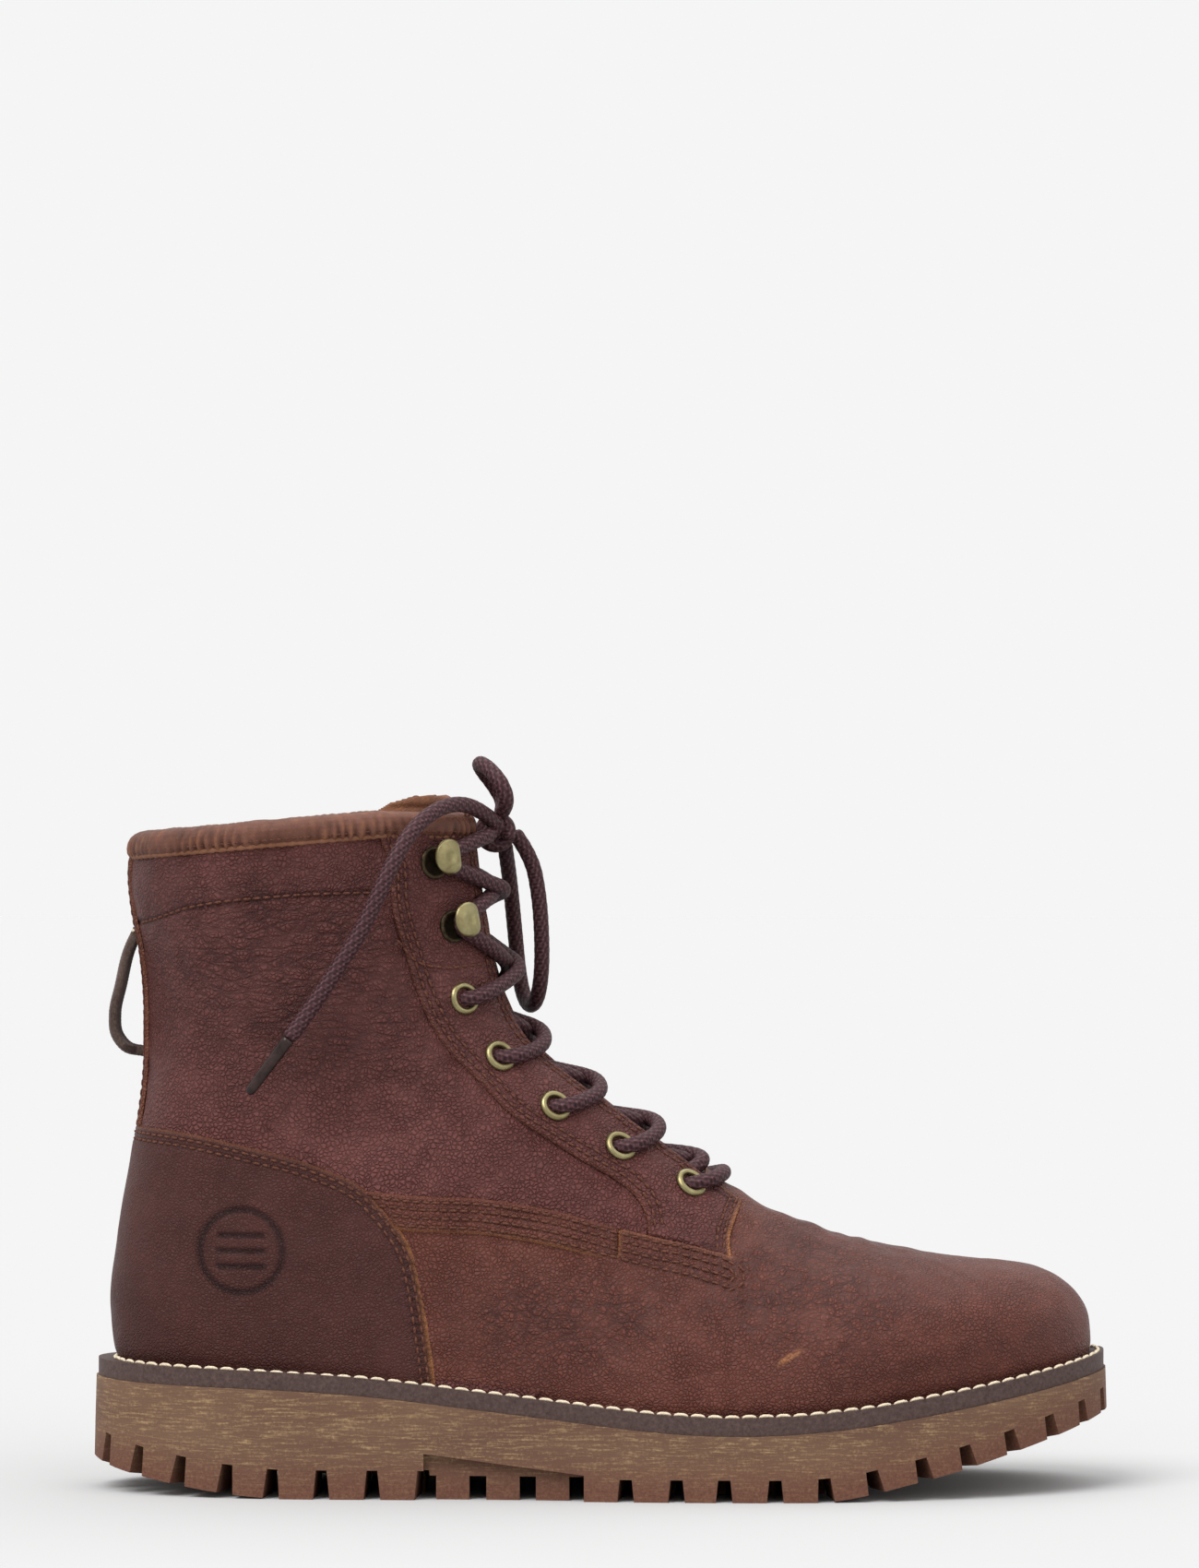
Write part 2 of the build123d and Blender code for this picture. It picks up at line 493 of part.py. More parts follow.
LOOP_DOWN = [(-25.7, 2.5, 196.0), (-20.5, 6.0, 189.0), (-18.2, 8.0, 177.0), (-17.4, 8.6, 165.0),
             (-17.4, 9.5, 154.0), (-18.6, 13.0, 146.0), (-20.8, 19.0, 142.8), (-23.0, 25.2, 145.5),
             (-24.6, 28.2, 153.0), (-25.6, 27.6, 164.0), (-26.6, 24.0, 175.0), (-27.6, 16.5, 185.0),
             (-28.6, 8.5, 192.5)]
AGLET_LENGTH = 20.0


def aglet(points):
    """The plastic tip on the end of a tail."""
    end = Vector(*points[-1])
    way = (end - Vector(*points[-2])).normalized()
    tip = Plane(origin=end + way * 0.05, z_dir=way) * Cylinder(
        1.7, AGLET_LENGTH, align=(Align.CENTER, Align.CENTER, Align.MIN)
    )
    return chamfer(tip.edges().sort_by(lambda e: (e.center() - end).length)[-1], 0.5)


def throat_point(share, side, lean, inset):
    """A point over the throat: share between two rows of eyelets, lean 0 at the middle to 1 at the eyelets."""
    low = seat(*FITTINGS[int(share)], side)
    high = seat(*FITTINGS[min(int(share) + 1, len(FITTINGS) - 1)], side)
    part = share - int(share)
    place = low[0] + (high[0] - low[0]) * part
    from_middle = math.pi - abs(low[1] + (high[1] - low[1]) * part)
    return upper_point(place, -side * (math.pi - from_middle * lean), inset)


FITTINGS = EYELETS + HOOKS + [(-51.5, 203.0)]


def lacing():
    """The laced part of the lace: a bar at the bottom, crossings above it, and turns round the hooks."""
    bar = [(0.0, -1, 1.0, 2.4), (0.0, -1, 1.0, -4.4), (0.05, -1, 0.42, -3.6), (0.08, 1, 0.0, -3.2),
           (0.05, 1, 0.42, -3.6), (0.0, 1, 1.0, -4.4), (0.0, 1, 1.0, 2.4)]
    spans = {"bar": [throat_point(*p) for p in bar]}
    for side in (-1, 1):
        dip = -2.4 if side < 0 else 2.4
        first = [(0.1, side, 0.92, 4.8), (0.22, side, 0.6, 4.6), (0.42, side, 0.2, dip),
                 (0.58, -side, 0.2, dip), (0.78, -side, 0.6, 4.6), (0.9, -side, 0.92, 4.8)]
        spans["first" + str(side)] = [throat_point(*p) for p in first]
        for row in (1, 2, 3):
            hump = -4.4 if side < 0 else 0.6
            cross = [(row, side, 1.0, 2.4), (row, side, 1.0, -4.6), (row + 0.16, side, 0.55, -3.4),
                     (row + 0.34, side, 0.25, hump + 0.2), (row + 0.52, -side, 0.08, hump + 0.6),
                     (row + 0.66, -side, 0.3, 2.6), (row + 0.8, -side, 0.64, 4.6), (row + 0.9, -side, 0.9, 4.8)]
            spans["cross" + str(row) + str(side)] = [throat_point(*p) for p in cross]
        rise = -6.6 if side < 0 else -2.6
        top = [(4, side, 1.0, 2.4), (4, side, 1.0, -4.6), (4.2, side, 0.55, -3.4), (4.42, side, 0.1, rise),
               (4.62, -side, 0.5, -3.6), (4.75, -side, 1.0, -3.6), (4.86, -side, 1.32, -3.7),
               (5.14, -side, 1.32, -3.7), (5.25, -side, 1.0, -3.6), (5.38, -side, 0.5, -3.6),
               (5.5, side, 0.1, rise), (5.64, side, 0.5, -3.6), (5.75, side, 1.0, -3.6),
               (5.86, side, 1.32, -3.7), (6.14, side, 1.32, -3.7), (6.26, side, 0.95, -4.2),
               (6.42, side, 0.36, -5.4)]
        spans["top" + str(side)] = [throat_point(*p) for p in top]
    return spans


def pull_loop():
    """The webbing loop on the back, pinched where it is stitched down."""
    outer = [(-140.3, 166.0), (-142.8, 160.0), (-144.8, 150.5), (-146.6, 141.5), (-146.2, 135.0), (-143.0, 130.8),
             (-138.2, 129.6)]
    inner = [(-138.2, 131.4), (-142.2, 132.7), (-144.6, 136.0), (-145.0, 141.5), (-143.2, 150.2), (-141.2, 158.6),
             (-140.3, 163.0)]
    ribbon = side_prism([outer, inner], -6.5, 6.5)
    plan = Polyline((-138, -1.6), (-140.4, -1.8), (-144, -6.6), (-150, -6.6), (-150, 6.6), (-144, 6.6),
                    (-140.4, 1.8), (-138, 1.6), close=True)
    return ribbon & extrude(make_face(plan), amount=250, dir=(0, 0, 1))


def fasteners(pieces):
    """Eyelets and hooks in their places, and their holes through the eyestays."""
    for name, side in (("outer", -1), ("inner", 1)):
        eyestay = pieces["eyestay_" + name]
        for number, (x, z) in enumerate(EYELETS, 1):
            plane = fitting_plane(x, z, side)
            eyestay -= plane * Cylinder(EYELET_HOLE + 0.5, 12)
            pieces[f"eyelet_{name}_{number}"] = plane * eyelet()
        for number, (x, z) in enumerate(HOOKS, 1):
            plane = fitting_plane(x, z, side)
            eyestay -= plane * Cylinder(1.75, 12)
            pieces[f"hook_{name}_{number}"] = plane * hook(-side)
        pieces["eyestay_" + name] = eyestay


def main():
    """Build every piece and write one file for each."""
    pieces = {"outsole": outsole()}
    pieces.update(rubber_and_board())
    pieces.update(leather_panels())
    pieces.update(inner_layers())
    fasteners(pieces)
    pieces["pull_loop"] = pull_loop()
    pieces["lacing"] = Compound([tube(name, route, LACE) for name, route in lacing().items()])
    pieces["lace_knot"] = Pos(-31.5, 0, 196) * Rot(90, 0, 0) * fillet(Cylinder(5.5, 12).edges(), 2.5)
    pieces["lace_tail_outer"] = tube("tail outer", TAIL_OUTER, LACE)
    pieces["lace_tail_inner"] = tube("tail inner", TAIL_INNER, LACE)
    pieces["lace_loop_up"] = tube("loop up", LOOP_UP, LACE)
    pieces["lace_loop_down"] = tube("loop down", LOOP_DOWN, LACE)
    pieces["aglet_outer"] = aglet(TAIL_OUTER)
    pieces["aglet_inner"] = aglet(TAIL_INNER)
    os.makedirs("parts", exist_ok=True)
    for name, shape in pieces.items():
        export_step(shape, f"parts/{name}.step")


main()
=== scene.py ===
import math

import bpy
import numpy as np
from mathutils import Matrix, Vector, noise


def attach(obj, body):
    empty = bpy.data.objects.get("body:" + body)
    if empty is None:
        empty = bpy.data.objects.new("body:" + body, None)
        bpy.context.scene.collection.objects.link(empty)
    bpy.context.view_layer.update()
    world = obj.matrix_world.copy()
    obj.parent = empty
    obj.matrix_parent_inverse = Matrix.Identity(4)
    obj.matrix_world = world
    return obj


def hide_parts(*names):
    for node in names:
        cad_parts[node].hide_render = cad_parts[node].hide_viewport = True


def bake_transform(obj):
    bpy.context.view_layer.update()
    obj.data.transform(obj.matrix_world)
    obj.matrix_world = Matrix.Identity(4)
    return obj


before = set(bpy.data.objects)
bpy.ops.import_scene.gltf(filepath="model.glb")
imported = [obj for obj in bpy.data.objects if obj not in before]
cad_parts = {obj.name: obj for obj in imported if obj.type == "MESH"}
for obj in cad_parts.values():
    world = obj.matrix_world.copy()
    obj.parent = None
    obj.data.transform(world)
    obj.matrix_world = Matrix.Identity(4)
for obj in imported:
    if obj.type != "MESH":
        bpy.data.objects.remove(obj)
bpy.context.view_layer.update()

MM = 0.001

# == Camera: level, from the outer side, at the photograph's distance.
CAMERA_AT = (0, -2.1, 0.2106)
LENS = 160.4
SENSOR = 36

camera_data = bpy.data.cameras.new("camera")
camera_data.sensor_width = SENSOR
camera_data.lens = LENS
camera = bpy.data.objects.new("camera", camera_data)
camera.location = CAMERA_AT
camera.rotation_euler = (math.pi / 2, 0, 0)
bpy.context.scene.collection.objects.link(camera)
bpy.context.scene.camera = camera

# == The upper's shape, in millimetres: the same cross sections as the CAD model, from the collar down and forward.
# Each row: x and z at the back, x and z at the front, the middle's y, the half width, where along the section it
# is widest, and how full its back and its front are.
SLICES = np.array([
    (-138.2, 207.5, -38.6, 218.5, 0.0, 40.3, 0.43, 2.1, 2.2),
    (-139.0, 195.5, -37.2, 204.5, 0.0, 40.0, 0.43, 2.1, 2.2),
    (-140.4, 184.0, -35.2, 188.5, 0.0, 39.4, 0.43, 2.1, 2.2),
    (-139.4, 172.5, -32.9, 173.5, 0.0, 38.4, 0.43, 2.1, 2.2),
    (-137.2, 161.0, -30.2, 159.5, 0.0, 37.4, 0.43, 2.1, 2.2),
    (-136.0, 149.5, -26.2, 146.5, 0.0, 36.7, 0.43, 2.1, 2.2),
    (-135.7, 137.5, -19.2, 134.2, 0.0, 36.1, 0.44, 2.2, 2.2),
    (-136.0, 124.5, -8.5, 124.6, 0.0, 35.8, 0.46, 2.4, 2.2),
    (-137.8, 109.0, 4.5, 115.3, -0.2, 35.8, 0.49, 2.8, 2.1),
    (-140.6, 92.5, 17.0, 106.4, -0.5, 36.3, 0.52, 3.1, 2.0),
    (-143.6, 74.0, 28.5, 98.2, -0.9, 37.0, 0.55, 3.4, 2.0),
    (-145.3, 54.0, 37.5, 91.2, -1.2, 37.8, 0.58, 3.5, 2.0),
    (-141.0, 32.0, 45.5, 85.9, -1.6, 38.4, 0.60, 3.5, 2.0),
    (-124.0, 13.0, 53.5, 82.0, -2.2, 39.2, 0.60, 3.0, 2.0),
    (-96.0, 3.0, 62.5, 78.8, -2.6, 41.0, 0.60, 2.6, 2.1),
    (-62.0, -2.0, 72.0, 75.9, -2.4, 44.0, 0.58, 2.4, 2.2),
    (-27.0, -4.0, 82.0, 73.2, -1.8, 47.2, 0.55, 2.4, 2.3),
    (8.0, -4.0, 92.0, 70.9, -0.8, 49.4, 0.52, 2.4, 2.4),
    (41.0, -1.0, 102.0, 69.1, 0.5, 50.2, 0.50, 2.4, 2.5),
    (71.0, 4.0, 112.0, 67.8, 2.3, 48.6, 0.50, 2.4, 2.5),
    (98.0, 9.0, 121.5, 66.9, 4.2, 44.2, 0.50, 2.4, 2.5),
    (120.0, 15.0, 130.0, 65.5, 6.0, 37.2, 0.50, 2.4, 2.4),
    (136.0, 21.0, 137.8, 62.3, 7.4, 27.8, 0.50, 2.3, 2.3),
    (144.8, 27.0, 143.8, 57.2, 8.2, 17.0, 0.50, 2.2, 2.2),
    (147.7, 32.5, 147.2, 50.5, 8.6, 8.2, 0.50, 2.0, 2.0),
    (148.1, 38.0, 148.1, 38.0, 8.8, 0.0, 0.50, 2.0, 2.0),
])
LAST = len(SLICES) - 1
BALL_HALF_WIDTH = 50.2

SOLE_TOP = [(-170, 40.2), (-152, 39.0), (-110, 37.7), (-69, 35.5), (-40, 32.2), (-15, 29.3), (14, 25.9), (36, 24.6),
            (60, 25.3), (82, 27.7), (111, 32.5), (135, 37.0), (152, 40.5), (170, 44.4)]
COLLAR_TOP = [(-165, 193.6), (-140, 195.6), (-100, 199.3), (-65, 202.2), (-40, 201.6), (-20, 199.0)]
COLLAR_BAND = 6.0
CUFF_SEAM = [(-165, 165.0), (-134.8, 169.7), (-122.5, 173.8), (-95.3, 177.4), (-64, 178.6)]
EYESTAY_SEAM = [(-66.5, 215.0), (-65.1, 195.6), (-62.4, 187.2), (-61.3, 174.4), (-57.2, 159.7), (-52.8, 145.8),
                (-46.6, 134.1), (-35.9, 122.6), (-25.3, 112.0), (-14.7, 105.0), (-4.6, 98.7), (4.4, 93.5),
                (10.9, 88.2), (13.6, 83.5), (14.4, 77.0), (14.5, 60.0)]
BAND_TOP = [(-80, 91.6), (-69.7, 90.5), (-54.5, 88.9), (-35.7, 88.1), (-13.6, 84.5), (5.7, 79.1), (18, 76.0),
            (38.9, 70.4), (44.1, 68.5)]
BAND_DEPTH = 10.5
EYESTAY_FRONT = [(39.0, 70.0), (38.7, 76.0), (40.2, 80.6), (42.5, 85.6), (45.0, 92.0), (47.0, 110.0)]
VAMP_UNDER = [(38.6, 70.5), (37.6, 72.0), (33.0, 78.0), (32.0, 86.0), (32.0, 110.0)]
FOXING_EDGE = [(-165, 109.0), (-139.5, 108.3), (-123.4, 107.0), (-103.7, 103.0), (-84.4, 97.9), (-69.7, 91.0),
               (-62.1, 83.2), (-56.1, 74.5), (-52.3, 60.9), (-50.4, 49.2), (-48.5, 35.1), (-47.5, 10.0)]
THROAT_GAP = 11.0
EYELETS = [(26.9, 91.3), (6.0, 102.5), (-13.4, 114.6), (-29.9, 129.4), (-40.6, 146.7)]
HOOKS = [(-43.2, 169.3), (-48.6, 188.2)]
KNOT_END = (-51.5, 203.0)
FITTINGS = [*EYELETS, *HOOKS, KNOT_END]
SIDES = (("outer", -1), ("inner", 1))


def between(place):
    """The slice values at places between the rows, on a smooth curve through them."""
    place = np.asarray(place, float)
    i = np.clip(place.astype(int), 0, LAST - 1)
    f = (place - i)[..., None]
    a = SLICES[np.maximum(i - 1, 0)]
    b = SLICES[i]
    c = SLICES[i + 1]
    d = SLICES[np.minimum(i + 2, LAST)]
    return b + ((c - a) * f + (2 * a - 5 * b + 4 * c - d) * f**2 + (3 * b - a - 3 * c + d) * f**3) / 2


def upper(place, angle, inset=0.0):
    """Points of the upper at places along its slices and angles round them."""
    place, angle, inset = np.broadcast_arrays(np.asarray(place, float), angle, inset)
    back_x, back_z, front_x, front_z, middle, half, widest, back_full, front_full = np.moveaxis(between(place), -1, 0)
    length = np.hypot(front_x - back_x, front_z - back_z)
    end_inset = inset * np.minimum(1.0, length / 60.0)
    side_inset = inset * np.where(place > 18, half / BALL_HALF_WIDTH, 1.0)
    run = -np.cos(angle)
    share = np.where(run < 0, widest * (1 + run), widest + (1 - widest) * run)
    full = np.where(run < 0, back_full, front_full)
    wide = (half - side_inset) * np.sqrt(np.maximum(0.0, 1 - np.abs(run) ** full))
    step = (end_inset + share * (length - 2 * end_inset)) / np.maximum(length, 1e-6)
    toe = np.maximum(0.0, (place - 20) / (LAST - 20))
    x = back_x + (front_x - back_x) * step - inset * toe * (2 - toe)
    z = back_z + (front_z - back_z) * step
    return np.stack([x, middle + np.where(np.sin(angle) > 0, -1, 1) * wide, z], -1)


def unit(v):
    return v / np.maximum(np.linalg.norm(v, axis=-1, keepdims=True), 1e-12)


def normals(place, angle):
    """Outward normals of the upper."""
    e = 0.02
    around = upper(place, angle + e) - upper(place, angle - e)
    along = upper(place + e, angle) - upper(place - e, angle)
    n = unit(np.cross(around, along))
    middle = (upper(place, np.pi / 2) + upper(place, -np.pi / 2)) / 2
    out = np.sum(n * (upper(place, angle) - middle), -1, keepdims=True)
    return np.where(out > 0, n, -n)


def bisect(first, last, passed):
    """The values from first to last at which passed() turns true."""
    low, high = np.array(first, float), np.array(last, float)
    for _ in range(44):
        middle = (low + high) / 2
        over = passed(middle)
        low = np.where(over, low, middle)
        high = np.where(over, middle, high)
    return middle


def seat(x, z, side):
    """Places and angles of points given in side view."""
    x, z = np.broadcast_arrays(np.asarray(x, float), np.asarray(z, float))

    def measured(place):
        row = between(place)
        return row, row[..., 2] - row[..., 0], row[..., 3] - row[..., 1]

    def passed(place):
        row, dx, dz = measured(place)
        return dx * (z - row[..., 1]) >= dz * (x - row[..., 0])

    place = bisect(np.zeros(x.shape), np.full(x.shape, LAST - 1.0), passed)
    row, dx, dz = measured(place)
    share = ((x - row[..., 0]) * dx + (z - row[..., 1]) * dz) / (dx**2 + dz**2)
    widest = row[..., 6]
    run = np.where(share < widest, share / widest - 1, (share - widest) / (1 - widest))
    return place, -side * np.arccos(np.clip(-run, -1, 1))


def on_upper(x, z, side, height=0.0):
    """Points on the upper given in side view, raised along its normal, and the normals."""
    place, angle = seat(x, z, side)
    n = normals(place, angle)
    return upper(place, angle) + n * np.asarray(height)[..., None], n


def bell(distance, width, power=2):
    """1 at no distance, falling to nothing over about the width."""
    return np.exp(-(distance / width) ** power)


def held(value):
    """The value, kept from 0 to 1."""
    return np.clip(value, 0, 1)


def xz(points):
    """The side-view coordinates of points."""
    return points[..., 0], points[..., 2]


def height_on(line, x):
    """The height of a side-view polyline at x."""
    xs, zs = np.array(line, float).T
    return np.interp(x, xs, zs)


def moved(line, dx, dz):
    """A side-view polyline moved bodily."""
    return [(x + dx, z + dz) for x, z in line]


def smooth_line(points, spacing=2.0):
    """A dense smooth polyline through side-view points."""
    p = np.array(points, float)
    t = np.concatenate([[0], np.cumsum(np.hypot(*np.diff(p, axis=0).T))])
    m = np.gradient(p, t, axis=0)
    out = []
    for k in range(len(p) - 1):
        h = t[k + 1] - t[k]
        s = np.linspace(0, 1, max(2, int(h / spacing) + 1), endpoint=False)[:, None]
        out.append((2 * s**3 - 3 * s**2 + 1) * p[k] + (s**3 - 2 * s**2 + s) * h * m[k]
                   + (3 * s**2 - 2 * s**3) * p[k + 1] + (s**3 - s**2) * h * m[k + 1])
    return np.concatenate([*out, p[-1:]])


def polygon(points):
    """A function giving signed distances to a side-view polygon, positive inside it."""
    p = np.array(points, float)
    q = np.roll(p, -1, axis=0)

    def distance(xyz):
        x, z = xz(xyz)
        best = np.full(x.shape, 1e9)
        inside = np.zeros(x.shape, bool)
        for (ax, az), (bx, bz) in zip(p, q):
            dx, dz = bx - ax, bz - az
            s = held(((x - ax) * dx + (z - az) * dz) / max(dx * dx + dz * dz, 1e-12))
            best = np.minimum(best, np.hypot(x - ax - s * dx, z - az - s * dz))
            if az != bz:
                crosses = (az > z) != (bz > z)
                inside ^= crosses & (x < dx * (z - az) / dz + ax)
        return np.where(inside, best, -best)

    return distance


# == Meshes
def mesh_object(name, vertices, faces, material, values=None):
    """A mesh piece from vertices in millimetres. values: names and numbers for its points."""
    mesh = bpy.data.meshes.new(name)
    mesh.from_pydata((np.asarray(vertices) * MM).tolist(), [], [tuple(int(i) for i in f) for f in faces])
    for key, numbers in (values or {}).items():
        attribute = mesh.attributes.new(key, "FLOAT", "POINT")
        attribute.data.foreach_set("value", np.asarray(numbers, np.float32).ravel())
    mesh.materials.append(material)
    mesh.validate()
    mesh.shade_smooth()
    obj = bpy.data.objects.new(name, mesh)
    bpy.context.scene.collection.objects.link(obj)
    return obj


def finish_piece(obj, body, slot, *nodes):
    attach(obj, body)
    if nodes:
        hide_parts(*nodes)
    return obj


def lumps(points, size, seed=0.0):
    """Smooth seeded noise, about -1 to 1, at points in millimetres."""
    flat = np.asarray(points).reshape(-1, 3) / size + seed
    found = np.array([noise.noise(Vector(p)) for p in flat])
    return found.reshape(np.asarray(points).shape[:-1]) * 1.6


def ring_faces(rings, count, start=0, ends=True):
    """Faces of a tube made of rings of count points each, with flat ends or open."""
    last = start + (rings - 1) * count
    faces = [(a + j, a + (j + 1) % count, a + count + (j + 1) % count, a + count + j)
             for a in range(start, last, count) for j in range(count)]
    if ends:
        faces += [tuple(range(start + count - 1, start - 1, -1)), tuple(range(last, last + count))]
    return faces


def lengths_along(points):
    """How far along a polyline each of its points is."""
    return np.concatenate([[0], np.cumsum(np.linalg.norm(np.diff(points, axis=0), axis=1))])


def closed_shell(top, bottom, keep):
    """Vertices, faces and kept points of a thick sheet over a grid, where keep says which cells are there."""
    rows, columns = top.shape[:2]
    index = np.arange(rows * columns).reshape(rows, columns)
    quads = np.stack([index[:-1, :-1], index[1:, :-1], index[1:, 1:], index[:-1, 1:]], -1)[keep]
    used = np.unique(quads)
    count = len(used)
    new = np.full(rows * columns, -1)
    new[used] = np.arange(count)
    quads = new[quads]
    top, bottom = top.reshape(-1, 3)[used], bottom.reshape(-1, 3)[used]
    first = top[quads[:, 0]]
    normal = np.cross(top[quads[:, 1]] - first, top[quads[:, 3]] - first)
    if np.sum(normal * (first - bottom[quads[:, 0]])) < 0:
        quads = quads[:, ::-1]
    starts = quads.ravel()
    ends = np.roll(quads, -1, axis=1).ravel()
    rim = ~np.isin(starts.astype(np.int64) * count + ends, ends.astype(np.int64) * count + starts)
    s, e = starts[rim], ends[rim]
    walls = np.stack([e, s, s + count, e + count], -1)
    return np.concatenate([top, bottom]), np.concatenate([quads, quads[:, ::-1] + count, walls]), used


def flexing(points):
    """How much the leather bends with each step: behind the toe and round the ankle."""
    x, z = xz(points)
    vamp = bell(x - 58 + 0.25 * (z - 70), 34) * bell(z - 60, 24)
    ankle = bell(z - 132 + 0.25 * x, 38) * bell(x + 85, 60)
    waist = bell(x + 12, 34, 4) * bell(z - 52, 18)
    return held(1.3 * vamp + 1.2 * ankle + waist)


def onto_edge(place, angle, inside, cell, turn):
    """Places and angles moved to where inside() is nothing, by no more than half a cell and half a turn a time."""
    e = 0.004
    for _ in range(4):
        d = inside(upper(place, angle))
        shifts = []
        for dp, dt, most in ((e, 0, cell), (0, e, turn)):
            ahead, behind = upper(place + dp, angle + dt), upper(place - dp, angle - dt)
            slope = (inside(ahead) - inside(behind)) / (2 * e)
            length = np.linalg.norm(ahead - behind, axis=-1) / (2 * e) + 1e-9
            shifts.append((slope, length, most))
        size = sum((slope / length) ** 2 for slope, length, _ in shifts) + 1e-4
        step = [np.clip(-d * slope / length**2 / size, -most / 2, most / 2) for slope, length, most in shifts]
        place, angle = place + step[0], angle + step[1]
    return place, angle


ROUNDING = 1.1


def panel(name, places, angles, inside, material, height, back, rows, slot, node, worn=0.15, shade_and_marks=None):
    """A leather panel on the upper. inside(points) is the distance in from its edge, height(points) its lift,
    rows(points) its stitched grooves, whose colour takes painted shade, worn how much paler its worn edges are, and
    mark(points) how much darker a pressed emblem and paler a scrape are."""
    place, angle = np.meshgrid(places, angles, indexing="ij")
    distance = inside(upper(place, angle))
    keep = (distance[:-1, :-1] + distance[1:, :-1] + distance[1:, 1:] + distance[:-1, 1:]) / 4 > 0
    full = np.zeros(place.shape, int)
    seen = np.zeros(place.shape, int)
    for i, j in ((0, 0), (0, 1), (1, 0), (1, 1)):
        corner = np.s_[i:i + keep.shape[0], j:j + keep.shape[1]]
        full[corner] += keep
        seen[corner] += 1
    edge = (full > 0) & (full < seen)
    cell = 2.2 * max(abs(places[1] - places[0]), 1e-6)
    turn = 2.2 * abs(angles[1] - angles[0])
    place[edge], angle[edge] = onto_edge(place[edge], angle[edge], inside, cell, turn)
    points = upper(place, angle)
    distance = np.maximum(inside(points), 0)
    n = normals(place, angle)
    s = held(distance / ROUNDING)
    rise = 0.15 + 0.85 * np.sqrt(1 - (1 - s) ** 2)
    lift = height(points)
    top = points + n * (lift * np.where(lift > 0, rise, 1))[..., None]
    vertices, faces, used = closed_shell(top, points - n * back, keep)
    values = {"rim": np.exp(-distance / 0.5) * (worn(points) if callable(worn) else worn), "flex": flexing(points)}
    # Painted shade: the stitch rows' grooves are darkened in colour.
    values["shade_and_marks"] = 0.55 * held(-rows(points) / ROW_DEPTH)
    if shade_and_marks:
        pressed, scraped = shade_and_marks(points)
        values["shade_and_marks"] = np.maximum(values["shade_and_marks"], pressed)
        values["rim"] = np.maximum(values["rim"], scraped)
    doubled = {key: np.tile(numbers.ravel()[used], 2) for key, numbers in values.items()}
    return finish_piece(mesh_object(name, vertices, faces, material, values=doubled), "boot", slot, node)


def offset_line(line, distance):
    """A side-view polyline moved sideways, to its left for positive distances."""
    p = np.asarray(line, float)
    way = np.gradient(p, axis=0)
    way /= np.hypot(*way.T)[:, None]
    return p + distance * np.stack([-way[:, 1], way[:, 0]], -1)


def spaced(points, spacing):
    """Points evenly spaced along a 3-D polyline."""
    step = lengths_along(points)
    at = np.linspace(0, step[-1], max(2, int(round(step[-1] / spacing)) + 1))
    return np.stack([np.interp(at, step, points[:, k]) for k in range(3)], -1)


# A stitch's rings: how far along it, its thickness and its lift, as shares of its length and radius.
STITCH_RINGS = [(-0.5, 0.25, -0.5), (-0.42, 0.75, -0.15), (-0.2, 1, 0.25), (0.2, 1, 0.25), (0.42, 0.75, -0.15),
                (0.5, 0.25, -0.5)]


def stitches(name, runs, material, pitch=3.0, length=2.35, radius=0.36):
    """One mesh of all the stitches along some runs, each a pair of points and normals arrays."""
    around = [(math.cos(k * math.pi / 4), math.sin(k * math.pi / 4)) for k in range(8)]
    vertices, faces = [], []
    for points, n in runs:
        centres = spaced(points, pitch)
        step = lengths_along(points)
        at = np.linspace(0, step[-1], len(centres))
        n = unit(np.stack([np.interp(at, step, n[:, k]) for k in range(3)], -1))
        for centre, along, up in zip(centres, unit(np.gradient(centres, axis=0)), n):
            across = np.cross(up, along)
            faces += ring_faces(len(STITCH_RINGS), 8, len(vertices))
            for u, r, lift in STITCH_RINGS:
                for c, s in around:
                    vertices.append(centre + along * u * length + (across * c * 1.1 + up * s) * r * radius
                                    + up * lift * radius)
    return mesh_object(name, vertices, faces, material)


